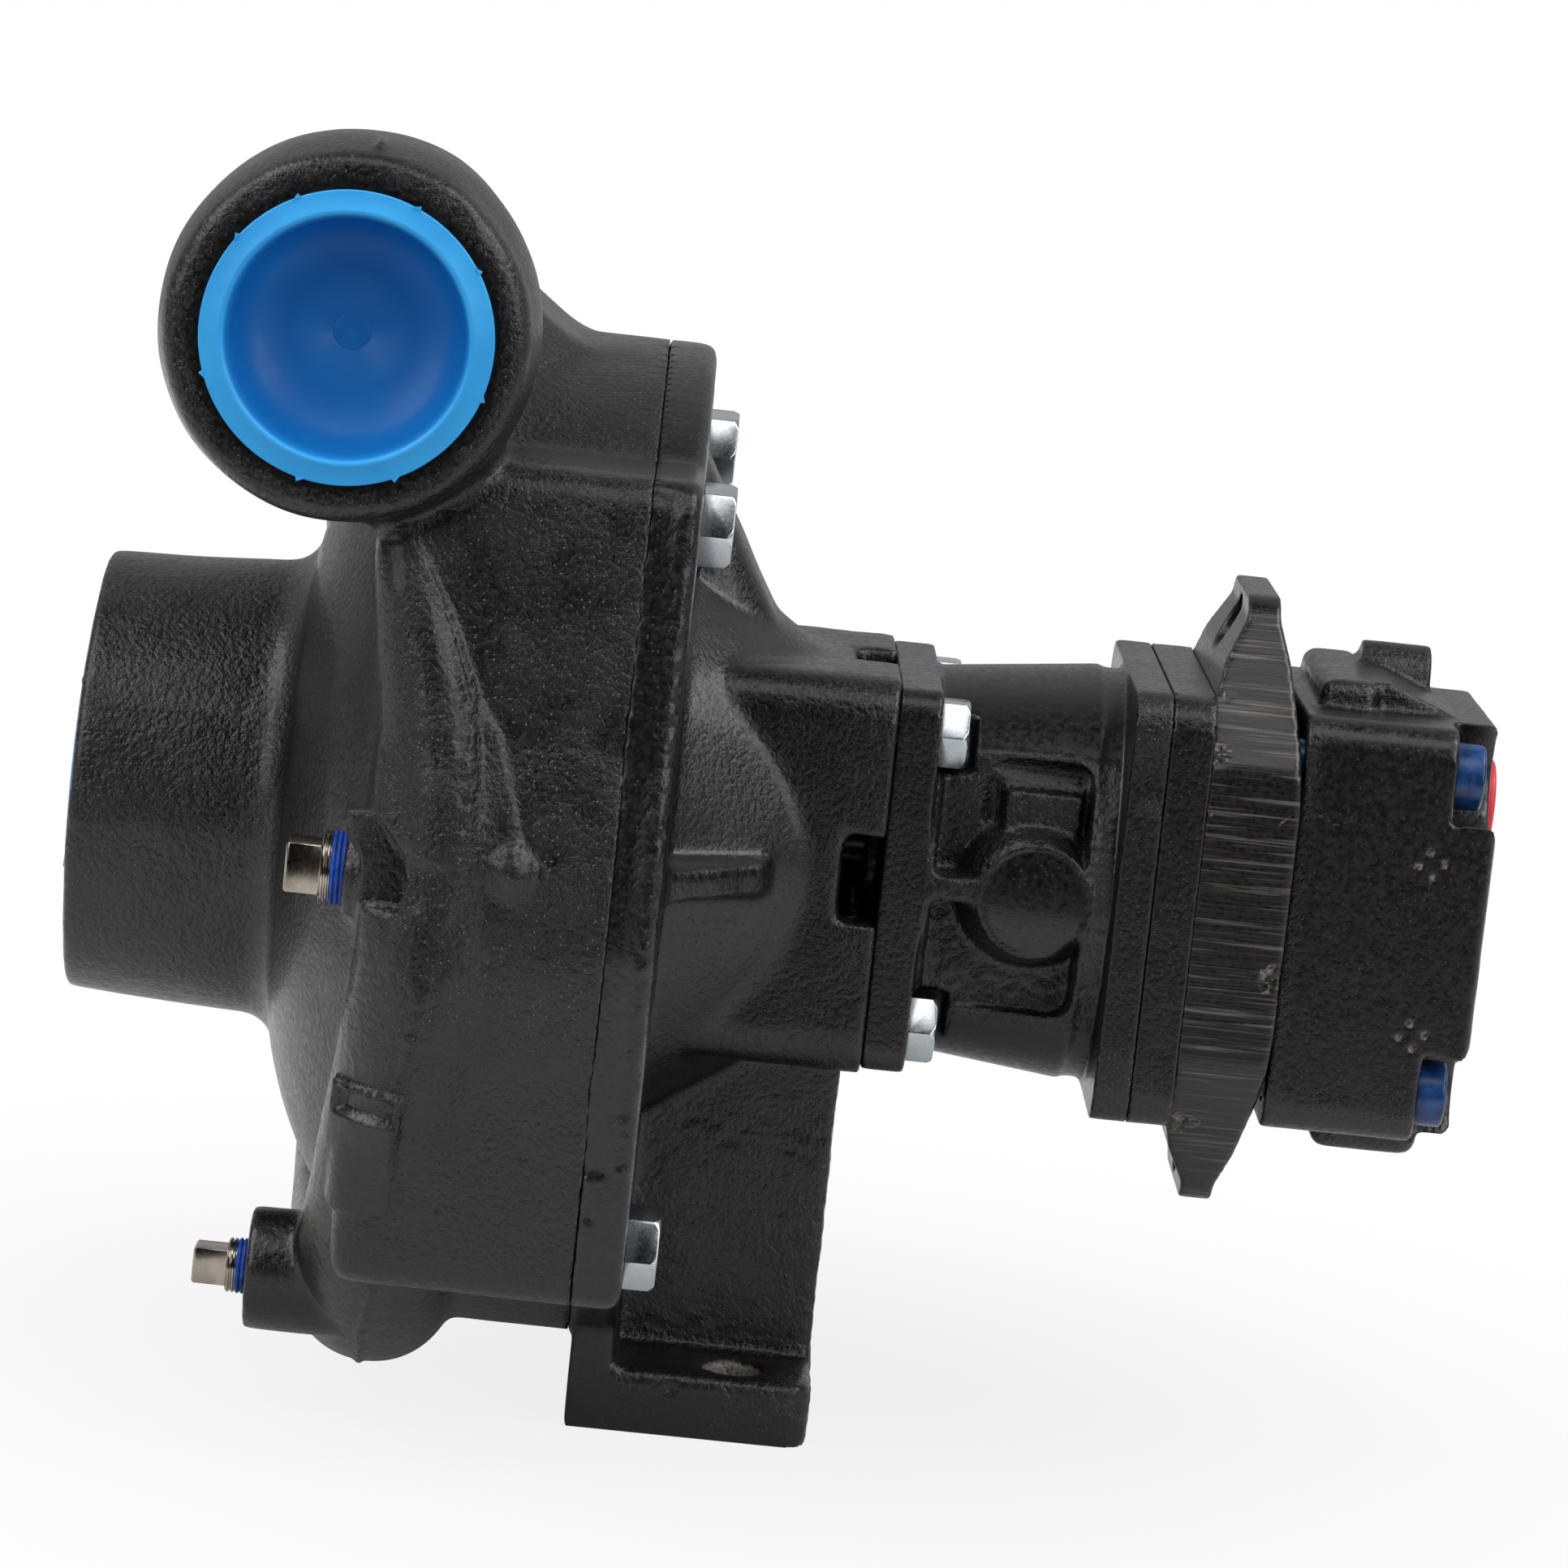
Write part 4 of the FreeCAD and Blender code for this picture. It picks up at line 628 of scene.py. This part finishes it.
def housing_softness(points):
    """First all but the two end faces, then the side pockets again, apart from the boss's edge."""
    x, y, z = points.T
    ends = step(x - HOUSING_LOW[0], 0.3, 1.5) * step(HOUSING_HIGH[0] - x, 0.3, 1.2)
    pocket = step(x, 61, 64) * step(95 - x, 0, 2) * step(30 - np.abs(z), 0, 2) * step(np.abs(y), 24, 27)
    from_boss = np.hypot(x - BOSS_MIDDLE[0], z - BOSS_MIDDLE[1])
    return [ends, pocket * (1 - hump(np.abs(from_boss - BOSS_RADIUS), 2.0))]


def dress_housing(points, normals):
    """A turned body between a cast fixing flange and a cast end flange, with rough pockets whose boss
    has a ground face."""
    x, y, z = points.T
    side = np.abs(y)
    pocket = step(x, 59, 61) * step(96 - x, 0, 1) * step(28 - np.abs(z), 0, 2) * step(side, 24, 27)
    from_boss = np.hypot(x - BOSS_MIDDLE[0], z - BOSS_MIDDLE[1])
    boss_face = pocket * step(BOSS_RADIUS - from_boss, 0, 0.6)
    rough = lumps(points, 1.6, pocket)
    rise = pocket * (1 - boss_face) * (0.04 + 0.09 * rough)
    rise += 0.45 * pocket * hump(np.abs(from_boss - BOSS_RADIUS + 0.3), 0.8)
    floor = pocket * step(POCKET_SIDE + 3 - side, 0, 2)
    for slot in POCKET_SLOTS:
        rise -= 1.3 * floor * hump(off_line(points[:, [0, 2]], slot), 2.6)
    end_flange = step(x, 96.2, 97)
    fixing_flange = step(60.5 - x, 0, 0.6)
    turned_body = (1 - end_flange) * (1 - fixing_flange) * (1 - pocket)
    corner = step(side + np.abs(z), 66, 74) * end_flange
    sand = 0.10 + 0.75 * pocket * (1 - boss_face) + 0.35 * fixing_flange + 0.25 * end_flange + 0.45 * corner
    sand += end_flange * (0.5 * step(-z, 22, 38) + 0.35 * step(-y, -12, 0) * step(z, 30, 36))
    scuff = hump(off_place(points, HOUSING_SCUFF, (0.7, 1, 1.2)), 5.5)
    rise += 0.25 * scuff * lumps(points, 1.2, scuff)
    worn = 0.55 * scuff + 0.35 * boss_face * hump(np.abs(from_boss - BOSS_RADIUS + 0.4), 0.9)
    return rise, {"sand": np.maximum(sand, scuff) * (1 - 0.6 * turned_body), "worn": worn}


def block_softness(points):
    """All but the block's two ground faces."""
    x = points[:, 0]
    return [step(x - BLOCK_LOW[0], 0.2, 0.9) * step(BLOCK_HIGH[0] - x, 0.2, 0.9)]


def dress_block(points, normals):
    """Slight cast waves on the block's sides, grainier above and below."""
    x, y, z = points.T
    sides = step(np.maximum(np.abs(y), np.abs(z)), 30, 34)
    sand = 0.3 + 0.45 * step(-z, 24, 40) + 0.3 * step(z, 34, 41)
    return 0.06 * lumps(points, 6, sides) * step(x - BLOCK_LOW[0], 0.2, 1) * sides, {"sand": sand * sides}


# Where the plate's sawn edge was chipped, with the reach of each chip, and a scratch across the edge
# and the cover behind it
CHIPS = [((113.0, -41.0, 32.5), 4.2), ((128.6, -42.5, -10.5), 4.5), ((115.5, -33.0, -42.0), 5.0),
         ((112.4, -42.5, 20.5), 1.6), ((114.5, -31.5, 41.5), 2.5)]
SCRATCH = [(126.4, -42.5, 20.0), (128.2, -42.5, 21.6), (131.0, -40.5, 20.6), (134.5, -39.5, 22.2),
           (137.5, -39.5, 20.6), (140.8, -39.5, 21.8)]


def plate_softness(points):
    """All but the plate's two ground faces."""
    x = points[:, 0]
    return [step(x - EAR_LOW[0], 0.15, 0.7) * step(EAR_HIGH[0] - x, 0.15, 0.7)]


def dress_plate(points, normals):
    """A sawn edge with ragged chips, a scratch, and faces as cast."""
    x, y, z = points.T
    sawn = step(np.abs(normals[:, 1]), 0.3, 0.55) * step(np.abs(y), 12, 20)
    chipped = np.maximum.reduce([hump(off_place(points, place), reach) for place, reach in CHIPS])
    rough = lumps(points, 1.3, chipped + sawn)
    # The saw's feed left shallow waves along the edge, a few to the centimetre
    waves = np.sin(z * 2.1 + 1.3 * np.sin(z * 0.37)) * 0.012
    rise = sawn * waves - chipped * (0.35 - 0.55 * rough)
    faces = step(np.abs(normals[:, 0]), 0.6, 0.85)
    sand = np.maximum(0.85 * faces, chipped) + 0.3 * step(-z, 25, 45) * (1 - faces)
    broken = chipped + 0.45 * rough
    ragged = step(broken, 0.32, 0.5) * (1 - 0.75 * step(broken, 0.6, 0.85)) * step(chipped, 0.05, 0.2)
    worn = np.maximum(ragged, 0.9 * hump(off_line(points, SCRATCH), 0.8))
    return rise, {"sand": sand, "sawn": sawn * (1 - 0.7 * chipped), "worn": worn}


# Punched dots on the rear cover, four round each middle, the faint line of its mould, its scuff and
# upper edge, and the middle and reach of its corner pockets
PUNCH_MIDDLES = [(157.0, 14.6), (157.1, -19.3)]
PUNCH_REACH = 2.5
PUNCH_TURN = 0.2
MOULD_LINES = [[(146.1, -37.3, 39.7), (146.3, -39.5, 26.5)], [(145.9, -39.5, 10.1), (145.4, -39.5, -16.2)]]
COVER_SCUFF = (137.0, -39.5, -32.0)
UPPER_EDGE = (-36.5, 40.0)
POCKET_MIDDLE, POCKET_REACH = 31.5, 13.5


def cover_softness(points):
    """All but the cover's joint face."""
    return [step(points[:, 0] - COVER_JOINT, 0.2, 0.9)]


def dress_cover(points, normals):
    """Smooth sides with punched dots, a mould line and scuffs, grainier lumps above and below, and blue
    paint that ran from the near cap screws into their pockets."""
    x, y, z = points.T
    near_side = step(-normals[:, 1], 0.6, 0.9) * step(-y, 30, 36)
    rise = 0.05 * lumps(points, 7)
    worn = np.zeros(len(points))
    for middle_x, middle_z in PUNCH_MIDDLES:
        for quarter in range(4):
            turn = math.pi / 2 * quarter + PUNCH_TURN
            off_x = x - middle_x - PUNCH_REACH * math.cos(turn)
            off_z = z - middle_z - PUNCH_REACH * math.sin(turn)
            off = np.hypot(off_x, off_z)
            rise += near_side * (0.15 * hump(np.abs(off - 1.0), 0.5) - 0.6 * hump(off, 0.85))
            worn = np.maximum(worn, near_side * hump(np.abs(off - 0.6), 0.8))
    rough = lumps(points, 1.4, near_side)
    for line in MOULD_LINES:
        close = hump(off_line(points, line), 0.8)
        rise += 0.18 * close
        worn = np.maximum(worn, close * step(rough, -0.1, 0.4) * 0.6)
    worn = np.maximum(worn, 0.38 * hump(off_place(points, COVER_SCUFF, (0.6, 1, 0.8)), 9) * near_side)
    worn = np.maximum(worn, 0.8 * hump(off_line(points, SCRATCH), 0.7) * near_side)
    edge = hump(np.hypot(y - UPPER_EDGE[0], z - UPPER_EDGE[1]), 1.3)
    edge *= step(x - 130, 0, 2) * step(162 - x, 0, 2)
    worn = np.maximum(worn, 0.7 * edge * step(lumps(points, 1.1, edge), -0.2, 0.3))
    lumped = step(np.abs(z), 40.5, 42)
    sand = 0.12 + 0.6 * lumped + 0.45 * step(-z, 27, 38) + 0.5 * hump(x - COVER_JOINT, 4)
    pockets = hump(np.hypot(np.abs(y) - POCKET_MIDDLE, np.abs(z) - POCKET_MIDDLE), POCKET_REACH)
    pockets *= step(x, 160.6, 161.5)
    near_pockets = pockets * step(-normals[:, 0] + 0.3, 0, 0.3) * step(-np.sign(y), 0, 0.5)
    blue = near_pockets * step(lumps(points, 5, pockets), -0.35, 0.15)
    return rise, {"sand": sand * (1 - blue), "worn": worn, "blue": blue}


# Each casting with the width of its skin's cells in millimetres and how often each region is softened
CASTINGS = [
    ("volute_casing", 0.85, (7, 34), casing_softness, dress_casing),
    ("mounting_flange", 0.85, (7, 10), flange_softness, dress_flange),
    ("front_housing", 0.62, (4, 3), housing_softness, dress_housing),
    ("motor_block", 0.8, (4,), block_softness, dress_block),
    ("ear_plate", 0.62, (4,), plate_softness, dress_plate),
    ("rear_cover", 0.68, (4,), cover_softness, dress_cover),
]
for name, piece in frame["nodes"].items():
    piece.data.materials.clear()
    piece.data.materials.append(SLOT_MATERIALS[NODE_SLOTS[name]])
for casting in CASTINGS:
    one_skin(*casting)


def turned(name, node, profile, origin, axis, finish=None, segments=144):
    """A turned or moulded round piece: the profile's points are (along the axis, radius) in mm, it
    starts and ends on the axis, and it is spun about the axis through the origin."""
    along = Vector(axis).normalized()
    across = along.orthogonal().normalized()
    third = along.cross(across)
    form = bmesh.new()
    rings = []
    for run, radius in profile:
        centre = Vector(origin) + along * run
        if radius < 1e-6:
            rings.append([form.verts.new(centre * MM + Vector(HEART))])
            continue
        ring = []
        for index in range(segments):
            turn = 2 * math.pi * index / segments
            place = centre + (across * math.cos(turn) + third * math.sin(turn)) * radius
            ring.append(form.verts.new(place * MM + Vector(HEART)))
        rings.append(ring)
    for first, second in zip(rings, rings[1:]):
        for index in range(segments):
            corners = [first[index % len(first)], first[(index + 1) % len(first)],
                       second[(index + 1) % len(second)], second[index % len(second)]]
            form.faces.new(list(dict.fromkeys(corners)))
    bmesh.ops.recalc_face_normals(form, faces=form.faces)
    mesh = bpy.data.meshes.new(name)
    form.to_mesh(mesh)
    form.free()
    mesh.polygons.foreach_set("use_smooth", [True] * len(mesh.polygons))
    mesh.set_sharp_from_angle(angle=math.radians(50))
    return settle(linked(name, mesh), node, finish)


def arc(centre, radius, start, end, steps=4):
    """Points of a round in a profile, from one angle to another in degrees."""
    turns = [math.radians(start + (end - start) * index / steps) for index in range(steps + 1)]
    return [(centre[0] + radius * math.cos(turn), centre[1] + radius * math.sin(turn)) for turn in turns]


# A transit cap's moulded details: how far its lip stands proud of its flat rim, how much smaller its
# mouth is than its body, the thickness of its floor, and the radius of the mark of the mould's gate
LIP = 0.45
MOUTH_WALL = 1.3
CAP_FLOOR = 2.65
GATE = 3.4
# Where along the bowl's depth its profile has points
BOWL_STATIONS = (0.04, 0.1, 0.18, 0.28, 0.4, 0.52, 0.64, 0.75, 0.84, 0.91)


def cap_profile(rim, body, length):
    """A transit cap from its outer face inwards: a flat rim with a moulded lip, a deep bowl, and the
    mark of the mould's gate in its middle."""
    mouth, depth = body - MOUTH_WALL, length - CAP_FLOOR
    bowl = [(depth * share ** 0.55, (mouth - 0.9) * (1 - share ** 2.7) ** (1 / 2.4))
            for share in BOWL_STATIONS]
    bowl = [point for point in bowl if point[1] > GATE + 1]
    middle = [(depth + 0.15, 0), (depth + 0.15, 0.2), (depth - 0.03, 0.5), (depth + 0.02, GATE - 0.25),
              (depth + 0.22, GATE + 0.1), (depth, GATE + 0.35)]
    lip = [(0.6, mouth - 0.5), (0.2, mouth - 0.2), (-0.2, mouth), (-0.42, mouth + 0.35),
           (-0.42, mouth + 0.9), (0.0, mouth + 1.4)]
    edge = arc((0.25, rim - 0.3), 0.3, 180, 90) + arc((0.9, rim - 0.3), 0.3, 90, 0)
    length -= LIP
    back = [(1.2, body), (length - 0.8, body - 0.1), (length, body - 0.9), (length, 0)]
    return middle + bowl[::-1] + lip + edge + back


def flash_burrs(node, origin, axis, clocks, rim):
    """Short ragged ends of moulding flash round a cap's rim, each a small wedge."""
    along = Vector(axis).normalized()
    across = along.orthogonal().normalized()
    third = along.cross(across)
    form = bmesh.new()
    for clock in clocks:
        out = across * math.cos(math.radians(clock)) + third * math.sin(math.radians(clock))
        side = along.cross(out)
        base = Vector(origin) + out * (rim - 0.25) + along * 0.3
        tip = base + out * 0.95 + side * 0.5
        corners = [base + side * 0.9, base - side * 0.9, base + along * 0.55, tip]
        points = [form.verts.new(point * MM + Vector(HEART)) for point in corners]
        for trio in ((0, 1, 2), (0, 3, 1), (1, 3, 2), (2, 3, 0)):
            form.faces.new([points[index] for index in trio])
    bmesh.ops.recalc_face_normals(form, faces=form.faces)
    mesh = bpy.data.meshes.new(node + "_flash")
    form.to_mesh(mesh)
    form.free()
    return settle(linked(node + "_flash", mesh), node)


def transit_cap(node, axis, body_inset, clocks):
    """A blue cap in the place of its CAD node, with the sizes that the node's box gives."""
    low, high = (Vector(corner) for corner in node_box(node))
    along = Vector(axis)
    length = abs((high - low).dot(along))
    origin = (low + high) / 2 - along * (length / 2)
    rim = max((high - low) - Vector([abs(value) for value in along]) * 1e3) / 2
    body = rim - body_inset
    piece = turned(node + "_moulding", node, cap_profile(rim, body, length), origin + along * LIP, along)
    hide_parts(node)
    points = (column(piece.data.vertices, "co", 3) - HEART) / MM - np.array(origin)
    run = points @ np.array(along)
    off_axis = np.linalg.norm(points - run[:, None] * np.array(along), axis=1)
    # The inside of the bowl, which the cap's plastic darkens as painted shade
    deep = step(run, 0.2, 1.2) * step(body - 0.6 - off_axis, 0, 0.5)
    layer = piece.data.attributes.new("deep", "FLOAT", "POINT")
    layer.data.foreach_set("value", deep.astype(np.float32))
    flash_burrs(node, origin, axis, clocks, rim)


transit_cap("outlet_cap", (0, 1, 0), 3.1, (12, 63, 110, 148, 205, 262, 290, 338))
transit_cap("suction_cap", (1, 0, 0), 3.8, (30, 95, 160, 240, 310))


def eased(node, width_mm):
    """A CAD node with its sharp edges rounded off, so that each edge catches a line of light."""
    piece = welded_copy(node, node + "_eased")
    flatten = piece.modifiers.new("flatten", "DECIMATE")
    flatten.decimate_type = "DISSOLVE"
    flatten.angle_limit = math.radians(0.5)
    bevel = piece.modifiers.new("ease", "BEVEL")
    bevel.width = width_mm * MM
    bevel.segments = 2
    bevel.limit_method = "ANGLE"
    bevel.angle_limit = math.radians(28)
    bevel.use_clamp_overlap = True
    baked(piece)
    piece.data.polygons.foreach_set("use_smooth", [True] * len(piece.data.polygons))
    piece.data.set_sharp_from_angle(angle=math.radians(34))
    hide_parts(node)
    return settle(piece, node)


# The pitch of the drain plugs' pipe thread, the radius of each plug's thread, the length of a head,
# and how many turns show bare and how many under sealant
PIPE_PITCH = 0.94
PLUG_THREADS = {"drain_plug": 6.6, "low_drain_plug": 5.0}
PLUG_HEAD = 6.6
BARE_TURNS, SEALED_TURNS = 2, 4


def thread_band(name, node, start, turns, radius, depth, middle, finish):
    """The ridges of a pipe thread that show outside the boss, as one turned sleeve."""
    profile = [(start, 0), (start, radius - depth)]
    for index in range(turns):
        crest = start + PIPE_PITCH * (index + 0.5)
        profile += [(crest - 0.16 * PIPE_PITCH, radius), (crest + 0.16 * PIPE_PITCH, radius)]
        profile += [(crest + 0.5 * PIPE_PITCH, radius - depth)]
    profile += [(start + PIPE_PITCH * turns, 0)]
    return turned(name, node, profile, (0, *middle), (1, 0, 0), finish, 72)


def side_plug(node):
    """A square-head pipe plug: the head's corners eased, its first threads bare, the rest in sealant."""
    low, high = node_box(node)
    eased(node, 0.35)
    middle = (low[1] + high[1]) / 2, (low[2] + high[2]) / 2
    radius = PLUG_THREADS[node]
    start = low[0] + PLUG_HEAD
    thread_band(node + "_bare_thread", node, start, BARE_TURNS, radius + 0.32, 0.5, middle, nickel)
    thread_band(node + "_sealed_thread", node, start + PIPE_PITCH * BARE_TURNS, SEALED_TURNS,
                radius + 0.42, 0.42, middle, sealant)


# The end part of a cap screw's head that is moved in, and how far, so that the head sits as deep in
# its pocket as in the photograph
HEAD_PART, HEAD_LOWERED = 5.2, 2.3


def paint_near_screws():
    """Lowers the cap screws' heads in their pockets and paints the two near ones blue."""
    screws = bpy.data.objects["cap_screws_eased"].data
    screws.materials.append(blue_paint)
    head_end = max(vert.co.x for vert in screws.vertices)
    for vert in screws.vertices:
        if vert.co.x > head_end - HEAD_PART * MM:
            vert.co.x -= HEAD_LOWERED * MM
    for face in screws.polygons:
        face.material_index = int(face.center.y < HEART[1])


for plug in PLUG_THREADS:
    side_plug(plug)
for node in ("casing_bolts", "motor_bolts", "cap_screws", "upper_port_plug", "lower_port_plug"):
    eased(node, 0.3)
paint_near_screws()


# The photograph's width and the matched camera's focal length, in its pixels
PHOTO_WIDTH, FOCAL_LENGTH = 1932, 7713


def make_camera():
    """The camera of the photograph, found by matching the object's corners."""
    place = Vector((-0.02788, -1.23225, 0.32096))
    yaw, pitch, roll = (math.radians(angle) for angle in (1.23, 9.01, 6.13))
    ahead = Vector((math.sin(yaw) * math.cos(pitch), math.cos(yaw) * math.cos(pitch), -math.sin(pitch)))
    level = Vector((math.cos(yaw), -math.sin(yaw), 0))
    upright = level.cross(ahead)
    right = level * math.cos(roll) + upright * math.sin(roll)
    up = upright * math.cos(roll) - level * math.sin(roll)
    turn = Matrix((right, up, -ahead)).transposed()
    data = bpy.data.cameras.new("photo_camera")
    data.sensor_width = 36.0
    data.lens = FOCAL_LENGTH / PHOTO_WIDTH * data.sensor_width
    data.clip_start = 0.05
    camera = bpy.data.objects.new("photo_camera", data)
    camera.matrix_world = Matrix.Translation(place) @ turn.to_4x4()
    bpy.context.scene.collection.objects.link(camera)
    bpy.context.scene.camera = camera


# The side of each soft box and the middle of the object, in metres
SOFT_BOX_SIDE = 0.7
OBJECT_MIDDLE = Vector((0.0, 0.0, 0.11))


def soft_box(name, place, power):
    """A square lamp that points at the middle of the object, with its power in watts."""
    data = bpy.data.lights.new(name, "AREA")
    data.shape = "SQUARE"
    data.size = SOFT_BOX_SIDE
    data.energy = power
    lamp = bpy.data.objects.new(name, data)
    aim = (OBJECT_MIDDLE - Vector(place)).to_track_quat("-Z", "Y").to_matrix().to_4x4()
    lamp.matrix_world = Matrix.Translation(place) @ aim
    bpy.context.scene.collection.objects.link(lamp)


def studio():
    """Soft boxes at a plain level, and a surround that is white to the camera, bright behind the object
    and dark in front of it in what its enamel, metal and glossy parts mirror."""
    soft_box("top_left_soft_box", (-0.8, -0.3, 1.0), 6.5)
    soft_box("top_right_soft_box", (0.8, -0.2, 1.1), 7.5)
    soft_box("left_soft_box", (-0.95, -0.85, 0.6), 4)
    soft_box("right_soft_box", (0.9, -0.9, 0.6), 5)
    soft_box("front_soft_box", (0.0, -0.7, 1.2), 3)
    world = bpy.data.worlds.new("white_surround")
    bpy.context.scene.world = world
    world.use_nodes = True
    tree = world.node_tree
    tree.nodes.clear()
    path = add(tree, "ShaderNodeLightPath")
    direction = add(tree, "ShaderNodeTexCoord").outputs["Generated"]
    split = add(tree, "ShaderNodeSeparateXYZ", Vector=direction)
    behind = add(tree, "ShaderNodeMapRange", Value=split.outputs["Y"], From_Min=0.1, From_Max=0.6,
                 To_Min=0.0, To_Max=0.45).outputs[0]
    glossy = add(tree, "ShaderNodeMath", {"operation": "MAXIMUM"}, i0=path.outputs["Is Glossy Ray"],
                 i1=path.outputs["Is Transmission Ray"]).outputs[0]
    lit = add(tree, "ShaderNodeMix", i0=glossy, i2=0.12, i3=behind).outputs[0]
    seen = add(tree, "ShaderNodeMath", {"operation": "MAXIMUM"}, i0=lit, i1=path.outputs["Is Camera Ray"])
    background = add(tree, "ShaderNodeBackground", Color=(1, 1, 1, 1), Strength=seen.outputs[0])
    add(tree, "ShaderNodeOutputWorld", Surface=background.outputs[0])


# The floor's reach from the object's middle, how far it comes towards the viewer, and its depth under
# the foot in millimetres
FLOOR_REACH, FLOOR_FRONT, FLOOR_GAP = 2.0, -0.4, 0.1


def backing_paper():
    """White paper that keeps the object's shadow near it and fades to plain white further out, for the
    camera and in what the object mirrors."""
    made, tree, shader = new_material("white_backing_paper", Roughness=0.9, Specular_IOR_Level=0.1)
    place = add(tree, "ShaderNodeTexCoord").outputs["Object"]
    fibre = add(tree, "ShaderNodeTexNoise", Vector=place, Scale=1 / (1.1 * MM), Detail=3.0).outputs["Fac"]
    tone = add(tree, "ShaderNodeValToRGB", {"stops": [(0.2, 0.5), (0.8, 0.53)]}, Fac=fibre)
    tree.links.new(tone.outputs[0], shader.inputs["Base Color"])
    path = add(tree, "ShaderNodeLightPath")
    mirrored = add(tree, "ShaderNodeMath", {"operation": "MAXIMUM"}, i0=path.outputs["Is Glossy Ray"],
                   i1=path.outputs["Is Transmission Ray"]).outputs[0]
    distance = add(tree, "ShaderNodeVectorMath", {"operation": "LENGTH"}, i0=place).outputs["Value"]
    fade = add(tree, "ShaderNodeMapRange", {"interpolation_type": "SMOOTHSTEP"}, Value=distance,
               From_Min=0.03, From_Max=0.28, To_Min=0.1, To_Max=1.0).outputs[0]
    glow = add(tree, "ShaderNodeMath", {"operation": "MULTIPLY"}, i0=fade, i1=mirrored).outputs[0]
    clear = add(tree, "ShaderNodeMapRange", {"interpolation_type": "SMOOTHSTEP"}, Value=distance,
                From_Min=0.02, From_Max=0.3, To_Min=0.84, To_Max=1.0).outputs[0]
    clear = add(tree, "ShaderNodeMath", {"operation": "MULTIPLY"}, i0=clear,
                i1=path.outputs["Is Camera Ray"]).outputs[0]
    glow = add(tree, "ShaderNodeMath", {"operation": "MAXIMUM"}, i0=glow, i1=clear).outputs[0]
    emission = add(tree, "ShaderNodeEmission", Color=(1, 1, 1, 1), Strength=1.0).outputs[0]
    mixed = add(tree, "ShaderNodeMixShader", Fac=glow, i1=shader.outputs[0], i2=emission).outputs[0]
    output = [node for node in tree.nodes if node.type == "OUTPUT_MATERIAL"][0]
    tree.links.new(mixed, output.inputs["Surface"])
    return made


def paper_floor():
    """The sheet of paper under the foot."""
    form = bmesh.new()
    bmesh.ops.create_grid(form, x_segments=2, y_segments=2, size=FLOOR_REACH)
    for vert in form.verts:
        vert.co.y = max(vert.co.y, FLOOR_FRONT)
    mesh = bpy.data.meshes.new("paper_floor")
    form.to_mesh(mesh)
    form.free()
    floor = linked("paper_floor", mesh)
    floor.location.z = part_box("mounting_flange")[0].z - FLOOR_GAP * MM
    mesh.materials.append(backing_paper())


make_camera()
studio()
paper_floor()
bpy.context.scene.view_settings.view_transform = "Standard"
